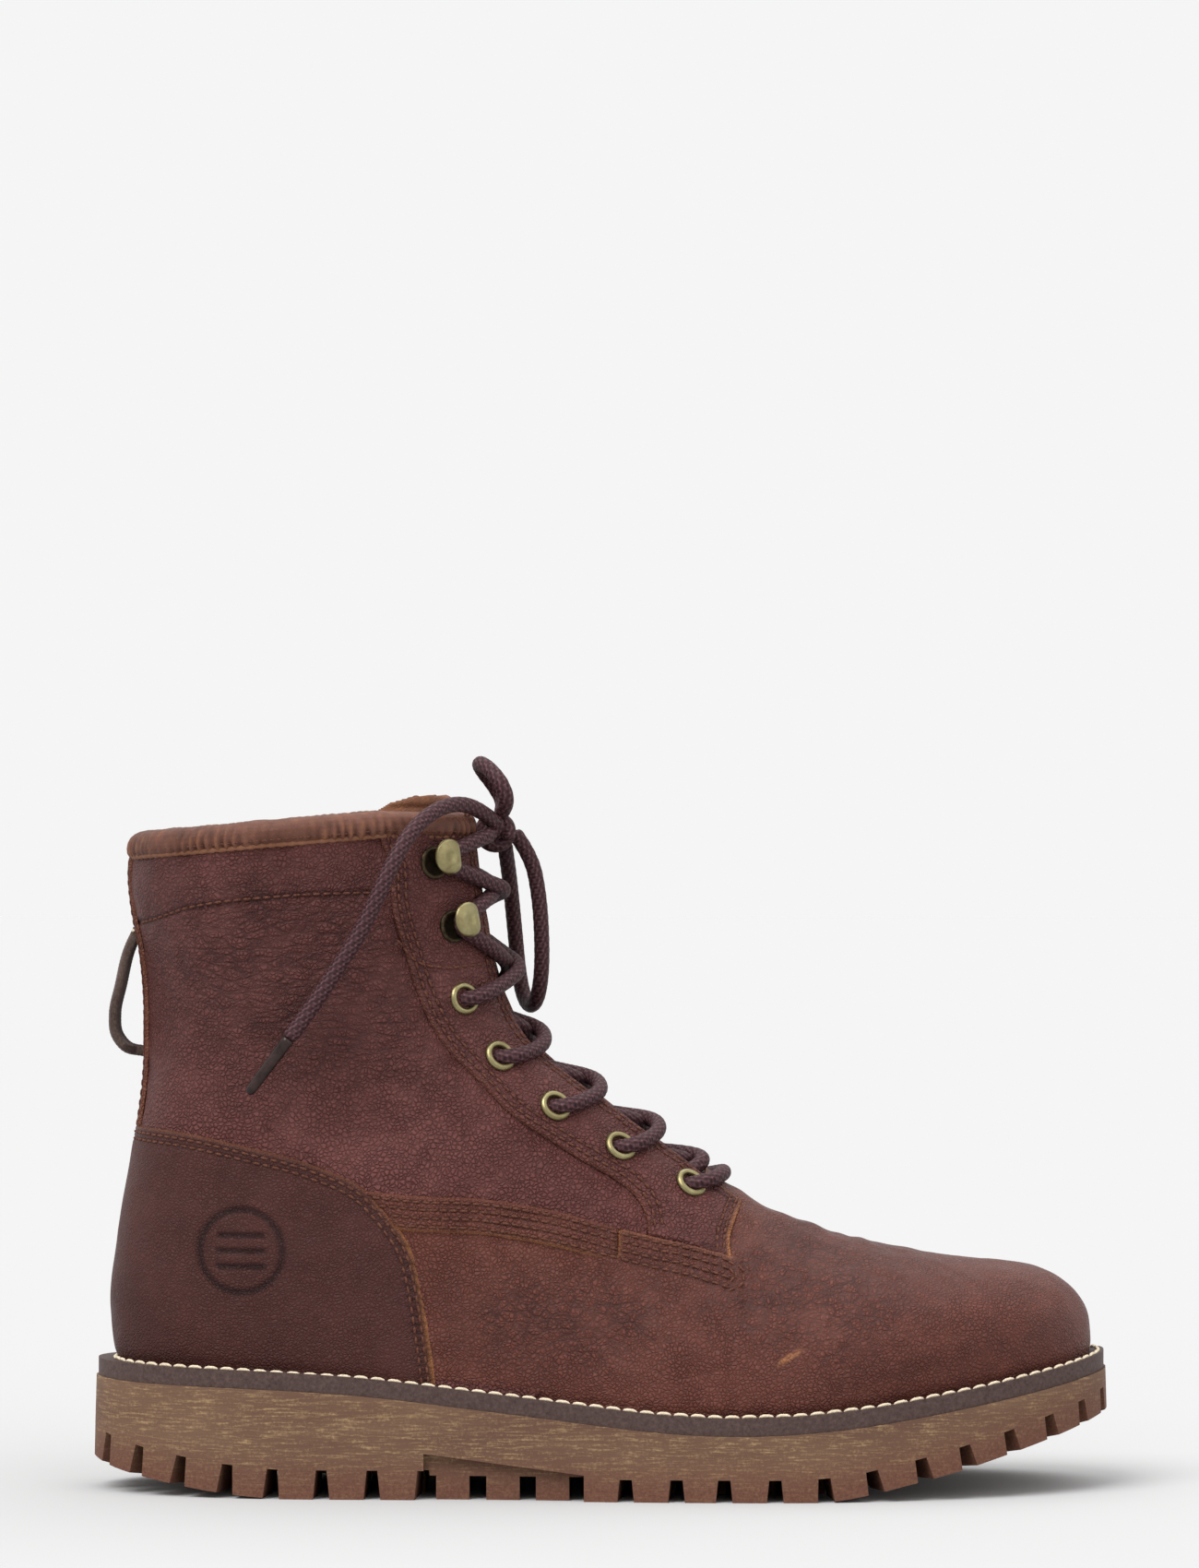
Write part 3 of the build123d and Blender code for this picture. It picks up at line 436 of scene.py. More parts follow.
# == Materials
class Shader:
    """A new material, with a short call for each kind of node used here."""

    def __init__(self, name):
        self.material = bpy.data.materials.new(name)
        self.material.use_nodes = True
        self.tree = self.material.node_tree
        self.bsdf = self.tree.nodes["Principled BSDF"]

    def put(self, sockets, values):
        """Give sockets their values: another node's output, a number, or three numbers."""
        for key, value in values.items():
            if isinstance(value, bpy.types.NodeSocket):
                self.tree.links.new(value, sockets[key])
            elif sockets[key].type == "RGBA":
                sockets[key].default_value = (*value, 1)
            else:
                sockets[key].default_value = value

    def node(self, kind, inputs, output=0, **settings):
        node = self.tree.nodes.new("ShaderNode" + kind)
        for key, value in settings.items():
            setattr(node, key, value)
        self.put(node.inputs, inputs)
        return node.outputs[output]

    def place(self, scale=(1, 1, 1)):
        return self.node("Mapping", {"Vector": self.node("TexCoord", {}, "Object"), "Scale": scale})

    def noise(self, vector, scale, detail=4, rough=0.6, distortion=0.0, output="Fac"):
        return self.node("TexNoise", {"Vector": vector, "Scale": scale, "Detail": detail, "Roughness": rough,
                                      "Distortion": distortion}, output)

    def ramp(self, source, stops):
        """Colours or greys at some positions of the source."""
        out = self.node("ValToRGB", {0: source})
        elements = out.node.color_ramp.elements
        while len(elements) < len(stops):
            elements.new(0.5)
        for element, (position, colour) in zip(elements, stops):
            element.position = position
            element.color = (*(colour if isinstance(colour, tuple) else (colour,) * 3), 1)
        return out

    def cells(self, vector, scale, stops):
        """Greys rising from the edges of irregular cells."""
        cells = self.node("TexVoronoi", {"Vector": vector, "Scale": scale}, "Distance", feature="DISTANCE_TO_EDGE")
        return self.ramp(cells, stops)

    def attribute(self, name):
        return self.node("Attribute", {}, "Fac", attribute_name=name)

    def math(self, operation, *values):
        return self.node("Math", dict(enumerate(values)), operation=operation)

    def weighted(self, first, share, second, other_share):
        return self.math("ADD", self.math("MULTIPLY", first, share), self.math("MULTIPLY", second, other_share))

    def mix(self, blend, factor, first, second):
        return self.node("Mix", {0: factor, 6: first, 7: second}, 2, data_type="RGBA", blend_type=blend)

    def finish(self, colour, rough, specular=None, bump=None, **others):
        """The material, from its colour, roughness, specular level, and bump as height, strength and distance."""
        self.put(self.bsdf.inputs, {"Base Color": colour, "Roughness": rough, **others})
        if specular is not None:
            self.put(self.bsdf.inputs, {"Specular IOR Level": specular})
        if bump:
            height, strength, distance = bump
            normal = self.node("Bump", {"Height": height, "Strength": strength, "Distance": distance})
            self.put(self.bsdf.inputs, {"Normal": normal})
        return self.material


# Colours mixed in: paler for worn edges and for painted highlights on the collar's gathers; darker for painted shade
# in stitch grooves and gathers, and for the pressed emblem.
WEAR_AND_HIGHLIGHT = (0.40, 0.17, 0.07)
SHADE_AND_MARK_TINT = (0.22, 0.19, 0.19)


def leather(name, dark, middle, light, grain=780.0, depth=0.0014, rough=0.46, crack=0.95, stretched=0.42):
    """Oiled leather: mottled colour, pebbled grain with painted highlights on its tops, crackled flexing areas,
    painted shade in stitch grooves and gathers, paler worn edges, and painted highlights on the collar's gathers.
    """
    s = Shader(name)
    place = s.place()
    patches = s.noise(place, 150, 6, 0.72)
    mottle = s.weighted(s.noise(place, 26, 6, 0.62, 0.6), 0.6, patches, 0.4)
    colour = s.ramp(mottle, [(0.24, dark), (0.5, middle), (0.76, light)])
    warped = s.mix("MIX", 0.003, place, s.noise(place, grain * 0.2, 2, 0.5, output="Color"))
    pebbles = s.cells(warped, grain, [(0, 0.34), (0.08, 0.50), (0.2, 0.8), (0.4, 0.92)])
    pulled = s.node("Mapping", {"Vector": warped, "Scale": (stretched, 0.8, 1.1), "Rotation": (0, 0.14, 0)})
    folds = s.cells(pulled, grain * 0.46, [(0, 0.2), (0.08, 0.36), (0.18, 0.78), (0.42, 0.93)])
    net = s.mix("MULTIPLY", s.attribute("flex"), pebbles, folds)
    strength = s.math("MULTIPLY", s.ramp(s.noise(place, 90, 3), [(0.35, 0.62), (0.6, 1)]), crack)
    # Dark lines along the grain's cell edges, partly the leather's own crease colour and partly painted shade, and
    # painted highlights (over 1) on the pebble tops.
    lines = s.ramp(net, [(0, (0.22, 0.18, 0.18)), (0.5, (0.86, 0.85, 0.85)), (1, 1.16)])
    colour = s.mix("MULTIPLY", strength, colour, lines)
    # Painted shade in stitch grooves and in the collar's gathers, and the pressed emblem's darker stamp.
    colour = s.mix("MULTIPLY", s.attribute("shade_and_marks"), colour, SHADE_AND_MARK_TINT)
    # Paler rim: worn edges and scrapes, the tongue's paler top, and painted highlights on the collar's gather ridges.
    edge = s.math("MULTIPLY", s.attribute("rim"), s.math("MULTIPLY", patches, 1.8))
    relief = s.weighted(net, strength, s.noise(place, 2400, 3, 0.7), 0.16)
    relief = s.math("ADD", relief, s.math("MULTIPLY", patches, 0.4))
    return s.finish(s.mix("MIX", edge, colour, WEAR_AND_HIGHLIGHT), s.ramp(patches, [(0.3, rough - 0.06), (0.7, rough + 0.14)]),
                    0.18, (relief, 0.9, depth))


def cloth(name, dark, light, weave=1400.0):
    """Fibrous cloth with a fine crossing weave."""
    s = Shader(name)
    fuzz = s.noise(s.place(), weave, 3, 0.8)
    both = s.weighted(fuzz, 0.6, s.noise(s.place(), 60), 0.4)
    return s.finish(s.ramp(both, [(0.35, dark), (0.65, light)]), 0.9, 0.1, (fuzz, 0.9, 0.0002),
                    **{"Sheen Weight": 0.1})


def thread(name, dark, light):
    s = Shader(name)
    twist = s.noise(s.place(), 2200, 2)
    return s.finish(s.ramp(twist, [(0.3, dark), (0.7, light)]), 0.6, 0.12, (twist, 0.6, 0.00012))


def plain(name, dark, light, scale=700.0, rough=0.6, depth=0.0001, metal=0.0):
    s = Shader(name)
    speck = s.noise(s.place(), scale, 4, 0.7)
    return s.finish(s.ramp(speck, [(0.32, dark), (0.68, light)]), rough, 0.2, (speck, 0.5, depth), Metallic=metal)


def woven():
    """Round woven lace: strands lit along their tops, dark aubergine with a purple sheen."""
    s = Shader("lace")
    both = s.weighted(s.attribute("weave"), 0.72, s.noise(s.place(), 2600, 3, 0.75), 0.4)
    shades = [(0.25, (0.010, 0.004, 0.005)), (0.6, (0.046, 0.018, 0.021)), (1.0, (0.190, 0.100, 0.108))]
    return s.finish(s.ramp(both, shades), 0.6, 0.15, (both, 0.7, 0.0002))


def brass():
    s = Shader("antique_brass")
    cloud = s.noise(s.place(), 240, 5, 0.6, 0.2)
    shades = [(0.25, (0.17, 0.135, 0.060)), (0.5, (0.25, 0.215, 0.105)), (0.75, (0.34, 0.30, 0.16))]
    return s.finish(s.ramp(cloud, shades), s.ramp(cloud, [(0.3, 0.42), (0.7, 0.28)]), None, (cloud, 0.15, 0.0001),
                    Metallic=0.95)


def sole_rubber():
    """Outsole rubber: olive sides with golden streaks along them, turning gum-brown down the lugs."""
    s = Shader("sole_rubber")
    streaks = s.noise(s.place((150, 150, 1700)), 1.0, 4, 0.65, 0.2)
    specks = s.noise(s.place(), 1100, 4, 0.8)
    both = s.weighted(streaks, 0.6, specks, 0.4)
    broad = s.noise(s.place((14, 14, 60)), 1.0, 3)
    olive = s.ramp(broad, [(0.35, (0.108, 0.056, 0.036)), (0.65, (0.146, 0.082, 0.050))])
    gum = s.ramp(specks, [(0.3, (0.085, 0.034, 0.021)), (0.7, (0.150, 0.066, 0.042))])
    above = s.node("MapRange", {"Value": s.attribute("tread"), "From Min": 3.0, "From Max": 15.0})
    gold = s.ramp(both, [(0.50, 0), (0.57, 0.35), (0.66, 1)])
    amount = s.math("MULTIPLY", gold, s.math("MULTIPLY_ADD", above, 0.6, 0.12))
    colour = s.mix("MIX", amount, s.mix("MIX", above, gum, olive), (0.40, 0.27, 0.13))
    return s.finish(colour, 0.66, 0.2, (both, 0.5, 0.0003))


GRAIN = leather("grain_leather", (0.062, 0.0180, 0.0155), (0.106, 0.0340, 0.0300), (0.168, 0.0620, 0.0550))
SMOOTH = leather("smooth_leather", (0.070, 0.0200, 0.0140), (0.104, 0.0312, 0.0222), (0.156, 0.0550, 0.0400),
                 860, 0.0008, 0.42, 1.0, 0.8)
FOXING = leather("foxing_leather", (0.036, 0.0102, 0.0082), (0.054, 0.0158, 0.0127), (0.078, 0.0250, 0.0195),
                 950, 0.0007, 0.46, 0.7)
COLLAR = leather("collar_leather", (0.060, 0.022, 0.013), (0.120, 0.048, 0.032), (0.200, 0.092, 0.062),
                 1200, 0.0002, 0.5, 0.4)
PIPING = leather("piping_leather", (0.110, 0.040, 0.020), (0.190, 0.080, 0.044), (0.270, 0.130, 0.080),
                 1500, 0.0001, 0.5, 0.3)
TONGUE = leather("tongue_leather", (0.040, 0.014, 0.010), (0.080, 0.030, 0.021), (0.130, 0.054, 0.039),
                 1000, 0.0003, 0.5, 0.6)
SEAM = thread("seam_thread", (0.042, 0.0130, 0.0090), (0.150, 0.060, 0.038))
CREAM = thread("welt_thread", (0.52, 0.42, 0.29), (0.80, 0.70, 0.54))
LACE = woven()
BRASS = brass()
RUBBER = sole_rubber()
WELT = plain("welt_rubber", (0.040, 0.024, 0.021), (0.088, 0.055, 0.049), 900, 0.6, 0.00014)
DARK_BRASS = plain("dark_brass", (0.020, 0.014, 0.008), (0.075, 0.055, 0.030), 500, 0.4, 0.00008, 0.8)
LINING = cloth("lining_cloth", (0.014, 0.009, 0.007), (0.040, 0.026, 0.021))
WEBBING = cloth("webbing", (0.028, 0.017, 0.014), (0.115, 0.078, 0.066), 1800)
FOOTBED = cloth("footbed_cloth", (0.020, 0.018, 0.017), (0.06, 0.055, 0.052), 1100)
FIBRE = cloth("warm_fibre", (0.42, 0.40, 0.36), (0.70, 0.68, 0.62), 700)
BOARD = plain("board", (0.26, 0.18, 0.10), (0.42, 0.31, 0.19))
STEEL = plain("steel", (0.35, 0.35, 0.36), (0.5, 0.5, 0.52), 900, 0.35, 0.00003, 1.0)
AGLET = plain("aglet", (0.012, 0.007, 0.006), (0.035, 0.020, 0.018), 300, 0.12, 0.00002)

# == The lace: NURBS lines through the CAD routes' points, with a woven tube round them.
LACE_WIDTH = 4.6


def nurbs_line(points):
    """Points along the smooth line of a route, from its NURBS spline, evenly spaced."""
    curve = bpy.data.curves.new("line", "CURVE")
    curve.dimensions = "3D"
    curve.resolution_u = 24
    spline = curve.splines.new("NURBS")
    spline.points.add(len(points) - 1)
    for point, place in zip(spline.points, points):
        point.co = (*[float(v) * MM for v in place], 1)
    spline.order_u = 3
    spline.use_endpoint_u = True
    obj = bpy.data.objects.new("line", curve)
    mesh = bpy.data.meshes.new_from_object(obj)
    found = np.array([v.co[:] for v in mesh.vertices]) / MM
    bpy.data.objects.remove(obj)
    bpy.data.curves.remove(curve)
    bpy.data.meshes.remove(mesh)
    return spaced(found, 0.55)


def woven_tube(name, lines):
    """A round woven lace round one or more lines."""
    around, repeat = 22, 6.6
    vertices, faces, weave = [], [], []
    theta = np.arange(around) * 2 * np.pi / around
    for line in lines:
        faces += ring_faces(len(line), around, len(vertices))
        way = unit(np.gradient(line, axis=0))
        side = unit(np.cross(way[0], (0.3, 1.0, 0.2)))
        run = lengths_along(line)
        for at, centre, along in zip(run, line, way):
            side = side - along * np.dot(side, along)
            side /= np.linalg.norm(side)
            other = np.cross(along, side)
            one = 4 * theta + at * 2 * np.pi / repeat
            two = 4 * theta - at * 2 * np.pi / repeat
            pattern = np.cos(one) * np.cos(two)
            fine = 0.5 + 0.5 * np.cos(np.where(pattern > 0, one, two) * 6)
            closing = 0.55 + 0.45 * min(1.0, math.sqrt(max(0.0, min(at, run[-1] - at)) / 0.9))
            radius = LACE_WIDTH / 2 * closing * (0.965 + 0.055 * np.abs(pattern) ** 0.5 + 0.012 * fine)
            out = np.cos(theta)[:, None] * side + np.sin(theta)[:, None] * other
            vertices.extend(centre + radius[:, None] * out)
            # Painted highlights: the colour is lighter along the strands' raised tops.
            weave.extend(0.75 * np.abs(pattern) ** 0.6 + 0.25 * fine)
    return mesh_object(name, vertices, faces, LACE, values={"weave": weave})


TAIL_OUTER = [(-31.6, -6.4, 199.2), (-37.0, -17.0, 204.5), (-46.5, -30.5, 204.6), (-56.0, -42.0, 196.8),
              (-63.0, -46.2, 183.0), (-69.0, -45.0, 169.0), (-77.0, -44.2, 156.5), (-85.5, -43.4, 143.5),
              (-91.5, -43.6, 135.5)]
TAIL_INNER = [(-31.6, 6.4, 199.2), (-37.5, 18.5, 204.2), (-47.5, 33.0, 203.0), (-56.0, 43.4, 192.5),
              (-61.5, 46.4, 177.5), (-65.5, 45.2, 159.0), (-69.5, 43.8, 145.0), (-71.5, 43.6, 134.0)]
LOOP_UP = [(-29.5, -3.5, 201.9), (-27.3, -9.5, 204.6), (-29.0, -11.5, 210.5), (-33.0, -7.5, 215.3),
           (-36.3, -0.5, 217.2), (-35.6, 6.5, 215.0), (-31.8, 10.6, 210.2), (-28.6, 9.2, 204.6), (-29.6, 3.5, 201.9)]
LOOP_DOWN = [(-25.7, 2.5, 196.0), (-20.5, 6.0, 189.0), (-18.2, 8.0, 177.0), (-17.4, 8.6, 165.0),
             (-17.4, 9.5, 154.0), (-18.6, 13.0, 146.0), (-20.8, 19.0, 142.8), (-23.0, 25.2, 145.5),
             (-24.6, 28.2, 153.0), (-25.6, 27.6, 164.0), (-26.6, 24.0, 175.0), (-27.6, 16.5, 185.0),
             (-28.6, 8.5, 192.5)]


AGLET_PROFILE = [(0.05, 1.75), (0.3, 1.95), (1.2, 2.0), (2.0, 1.8), (2.8, 1.92), (3.6, 1.78), (4.4, 1.84), (10, 1.75),
                 (17.5, 1.62), (19.2, 1.45), (19.9, 0.9), (20.05, 0.25)]


def aglet(name, line):
    """The moulded tip on a tail: a slim sleeve with a crimped neck and rounded end."""
    end, way = line[-1], unit(line[-1] - line[-6])
    side = unit(np.cross(way, (0, 1, 0)))
    other = np.cross(way, side)
    turns = [j * np.pi / 12 for j in range(24)]
    vertices = [end + way * along + radius * (math.cos(turn) * side + math.sin(turn) * other)
                for along, radius in AGLET_PROFILE for turn in turns]
    return mesh_object(name, vertices, ring_faces(len(AGLET_PROFILE), 24), AGLET)


def free_lace(name, route, node, tip=None):
    """A free stretch of lace, with its aglet where it has one."""
    line = nurbs_line(route)
    tube = finish_piece(woven_tube(name, [line]), "boot", "lace", node)
    tips = [finish_piece(aglet(tip, line), "boot", "aglet", tip.replace("tip", "aglet"))] if tip else []


free_lace("tail_outer", TAIL_OUTER, "lace_tail_outer", "tip_outer")
free_lace("tail_inner", TAIL_INNER, "lace_tail_inner", "tip_inner")
free_lace("loop_upright", LOOP_UP, "lace_loop_up")
free_lace("loop_hanging", LOOP_DOWN, "lace_loop_down")


def throat_point(share, side, lean, inset):
    """A point over the throat: share between rows of eyelets, lean from the middle to the eyelets."""
    low = seat(*FITTINGS[int(share)], side)
    high = seat(*FITTINGS[min(int(share) + 1, len(FITTINGS) - 1)], side)
    part = share - int(share)
    place = low[0] + (high[0] - low[0]) * part
    from_middle = np.pi - abs(low[1] + (high[1] - low[1]) * part)
    return upper(place, -side * (np.pi - from_middle * lean), inset)


def lacing_runs():
    """The laced part: a bar across the bottom, crossings through the eyelets, then round the hooks on both sides."""
    bar = [(0.0, -1, 1.0, 2.4), (0.0, -1, 1.0, -4.4), (0.05, -1, 0.42, -3.6), (0.08, 1, 0.0, -3.2),
           (0.05, 1, 0.42, -3.6), (0.0, 1, 1.0, -4.4), (0.0, 1, 1.0, 2.4)]
    runs = [bar]
    for side, dip, hump, rise in ((-1, -2.4, -4.4, -6.6), (1, 2.4, 0.6, -2.6)):
        runs.append([(0.1, side, 0.92, 4.8), (0.22, side, 0.6, 4.6), (0.42, side, 0.2, dip),
                     (0.58, -side, 0.2, dip), (0.78, -side, 0.6, 4.6), (0.9, -side, 0.92, 4.8)])
        for row in (1, 2, 3):
            runs.append([(row, side, 1.0, 2.4), (row, side, 1.0, -4.6), (row + 0.16, side, 0.55, -3.4),
                         (row + 0.34, side, 0.25, hump + 0.2), (row + 0.52, -side, 0.08, hump + 0.6),
                         (row + 0.66, -side, 0.3, 2.6), (row + 0.8, -side, 0.64, 4.6), (row + 0.9, -side, 0.9, 4.8)])
        runs.append([(4, side, 1.0, 2.4), (4, side, 1.0, -4.6), (4.2, side, 0.55, -3.4), (4.42, side, 0.1, rise),
                     (4.62, -side, 0.5, -3.6), (4.84, -side, 0.88, -3.6), (4.93, -side, 1.02, -3.6),
                     (5.07, -side, 1.02, -3.6), (5.16, -side, 0.88, -3.6), (5.38, -side, 0.5, -3.6),
                     (5.5, side, 0.1, rise), (5.64, side, 0.5, -3.6), (5.84, side, 0.88, -3.6),
                     (5.93, side, 1.02, -3.6), (6.07, side, 1.02, -3.6), (6.18, side, 0.86, -4.2),
                     (6.42, side, 0.36, -5.4)])
    return [nurbs_line([throat_point(*p) for p in run]) for run in runs]


finish_piece(woven_tube("laced_part", lacing_runs()), "boot", "lace", "lacing")

# The bow's knot: one band of lace wrapped round the crossing strands.
turns = [(k / 14, -0.6 + k / 14 * 2 * math.pi * 1.35) for k in range(15)]
band = [(-31.3 + 4.1 * math.cos(turn), -2.6 + 5.2 * share, 196.2 + 4.1 * math.sin(turn)) for share, turn in turns]
core = [[(-33.5, -9.5, 194.5), (-32.5, -5, 197.0), (-31.0, 0, 197.4), (-29.6, 5, 196.4), (-29.4, 9.5, 193.8)],
        [(-31.4, -7.5, 199.6), (-30.4, -3.5, 197.6), (-31.6, 0.5, 195.2), (-30.4, 4.0, 197.0), (-31.4, 7.5, 199.4)]]
finish_piece(woven_tube("bow_knot", [nurbs_line(p) for p in [band, *core]]), "boot", "lace", "lace_knot")


# == Leather panels
def creases(points):
    """Soft folds where the boot bends: across the vamp behind the toe and round the ankle."""
    x, z = xz(points)
    warp = lumps(points, 38.0, 3.0) * 5
    bend = bell(x - 52 + 0.22 * (z - 70), 30) * bell(z - 72, 26)
    vamp_folds = bend * (0.34 * np.sin((x + 0.25 * z + warp) / 2.5)
                         + 0.22 * np.sin((x - 0.3 * z + 1.6 * warp) / 1.45))
    ankle = bell(z - 138 + 0.25 * x, 30) * bell(x + 78, 55)
    ankle_folds = ankle * 0.42 * np.sin((z + 0.35 * x + 1.4 * warp) / 4.2)
    return vamp_folds + ankle_folds + 0.42 * lumps(points, 16.0, 9.0) + 0.16 * lumps(points, 5.0, 21.0)


ROW_DEPTH = 0.3
PAIR = (1.9, 3.9)
BAND_ROWS = (1.7, 3.9, 6.4, 8.9)


def grooves(distance, rows):
    """Shallow channels where stitch rows pull the leather down."""
    return -sum(ROW_DEPTH * bell(distance - d, 0.62) for d in rows)


# Side-view areas. FAR is well outside the boot.
FAR = 300
seam_line = smooth_line(EYESTAY_SEAM)
foxing_line = smooth_line(FOXING_EDGE)
band_line = smooth_line(BAND_TOP)
cuff_line = smooth_line(CUFF_SEAM)
front_line = smooth_line(EYESTAY_FRONT, 1.0)
lap_edge = band_line[(band_line[:, 0] > 5.4) & (band_line[:, 0] < 38.5)]
collar_seam = moved(COLLAR_TOP, 0, -COLLAR_BAND + 1.2)
above_sole = polygon([*moved(SOLE_TOP, 0, -1.2), (FAR, 44), (FAR, FAR), (-FAR, FAR), (-FAR, 40)])
under_collar = polygon([(-FAR, collar_seam[0][1]), *collar_seam, (FAR, 198), (FAR, -FAR), (-FAR, -FAR)])
behind_eyestay = polygon([*seam_line, (14.5, -20), (-FAR, -20), (-FAR, FAR), (-66.5, FAR)])
before_seam = polygon([*seam_line, (14.5, -20), (FAR, -20), (FAR, FAR), (-66.5, FAR)])
vamp_area = polygon([*lap_edge, *VAMP_UNDER, (32, FAR), (FAR, FAR), (FAR, -FAR), (-62, -FAR), (-62, 80),
                     (-54.5, 81.5), (-35.7, 80.8), (-13.6, 77), (5.0, 71)])
band_area = polygon([*band_line[band_line[:, 0] < 5.5], (5.6, 78.9), (5.6, 68.8),
                     *reversed(moved([p for p in band_line if p[0] < 5.5], 0, -BAND_DEPTH))])
foxing_area = polygon([(-FAR, 109.5), *foxing_line, (-47.5, -FAR), (-FAR, -FAR)])
lap_line = polygon([*lap_edge, (39.0, 70.3), (FAR, 70), (FAR, -FAR), (-62, -FAR), (-62, 80)])
above_lap = polygon([*[p for p in moved(band_line, 0, -3.0) if p[0] < 38], *front_line, (60, FAR), (-90, FAR),
                     (-90, 88)])


def throat_edge(points):
    return np.abs(points[..., 1]) - THROAT_GAP


def hardware_dents(points):
    """Leather pressed down round each eyelet and hook, for one side's points."""
    lift = np.zeros(points.shape[:-1])
    for x, z in EYELETS + HOOKS:
        far = np.hypot(points[..., 0] - x, points[..., 2] - z)
        lift -= 0.5 * bell(far, 6.2, 4) - 0.18 * bell(far - 8.0, 2.0)
    return lift


def quarter_rows(points):
    x, z = xz(points)
    return -1.6 * ROW_DEPTH * bell(z - height_on(CUFF_SEAM, x), 0.9) * (x < -62)


def quarter_height(points):
    x, z = xz(points)
    puff = 0.55 * bell(z - height_on(COLLAR_TOP, x) + 18, 9) * (x > -140)
    tuck = -0.55 * np.exp(-np.maximum(-before_seam(points), 0) / 2.4)
    return 0.05 + creases(points) + puff + tuck + quarter_rows(points) - 0.5 * np.exp(-under_collar(points) / 1.6)


def quarter_inside(points):
    return np.minimum(np.minimum(under_collar(points), above_sole(points)), behind_eyestay(points) + 4.0)


def eyestay_inside(points):
    return np.minimum(np.minimum(before_seam(points), throat_edge(points)),
                      np.minimum(above_lap(points), under_collar(points)))


def eyestay_rows(points):
    x, z = xz(points)
    ahead = np.where((x > 30) & (z > 72.5), above_lap(points), 30)
    seam = np.where(z > 79, before_seam(points), 30)
    return grooves(seam, (1.9, 4.0)) + grooves(throat_edge(points), PAIR) + grooves(ahead, PAIR)


def eyestay_height(points):
    sunk = 1.4 * held(lap_line(points) / 1.2 + 0.5) * (points[..., 0] > 5)
    return 1.05 + 0.55 * creases(points) + hardware_dents(points) + eyestay_rows(points) - sunk


def vamp_inside(points):
    return np.minimum(vamp_area(points), above_sole(points))


def below_band_top(points):
    x, z = xz(points)
    return np.where((x > 0) & (x < 42), height_on(BAND_TOP, x) - z, 30)


def vamp_rows(points):
    near = below_band_top(points)
    return grooves(near, BAND_ROWS) * (near > 0) * (points[..., 0] < 40)


def sole_tuck(points):
    """The dip where a panel turns in to meet the welt."""
    x, z = xz(points)
    return -0.5 * bell(z - height_on(SOLE_TOP, x), 2.2)


def vamp_height(points):
    x = points[..., 0]
    near = below_band_top(points)
    top = 0.15 + 1.5 * np.exp(-np.maximum(near - 6, 0) / 9) * held((44 - x) / 8) * (near > -0.5)
    under = -1.6 * held(eyestay_inside(points) / 1.5) * held(-near / 1.5 + 0.2)
    toe = held((x - 92) / 30)
    return top + creases(points) * (1 - 0.6 * toe) + vamp_rows(points) + sole_tuck(points) + under


def band_inside(points):
    return np.minimum(band_area(points), -foxing_area(points) + 1.0)


def in_from_band_top(points):
    x, z = xz(points)
    return height_on(BAND_TOP, x) - z


def band_rows(points):
    return grooves(in_from_band_top(points), BAND_ROWS)


def band_height(points):
    return 1.35 + 0.4 * creases(points) + band_rows(points)


def band_wear(points):
    return np.where(in_from_band_top(points) > 8, 0.6, 0.1)


EMBLEM = (-105.6, 72.5)
SCUFF = (55.6, 42.2)


def emblem(points):
    """How deep the plain ring and bars are pressed, 0 to 1."""
    x, z = points[..., 0] - EMBLEM[0], points[..., 2] - EMBLEM[1]
    ring = bell(np.hypot(x, z) - 12.2, 1.1, 4)
    bars = sum(bell(z - shift, 0.95, 6) for shift in (-4.6, 0.0, 4.6))
    bars = bars * held((7.4 - np.abs(x)) / 0.5)
    return held(ring + bars) * (points[..., 1] < 0)


def scuff(points):
    """A short pale scrape on the outer side of the vamp."""
    x, z = points[..., 0] - SCUFF[0], points[..., 2] - SCUFF[1]
    along, across = 0.83 * x + 0.56 * z, 0.83 * z - 0.56 * x
    broken = held(0.75 + 1.1 * lumps(points, 1.6, 61.0))
    return 0.75 * np.exp(-(along / 3.6) ** 4 - (across / 0.9) ** 4) * broken * (points[..., 1] < 0)


def foxing_inside(points):
    return np.minimum(foxing_area(points), above_sole(points))


def foxing_rows(points):
    return grooves(foxing_area(points), PAIR)


def foxing_height(points):
    return 1.45 + 0.35 * creases(points) + foxing_rows(points) - 0.5 * emblem(points) + sole_tuck(points)


def strap_inside(points):
    side = 6.9 - np.abs(points[..., 1]) - 0.012 * (195 - points[..., 2])
    return np.minimum(np.minimum(side, under_collar(points)), points[..., 2] - 107.0)


def strap_rows(points):
    return grooves(strap_inside(points), (1.6,))


def strap_height(points):
    return 1.3 + 0.3 * creases(points) + strap_rows(points)


COARSE = 1


def spread(first, last, count):
    return np.linspace(first, last, count // COARSE)


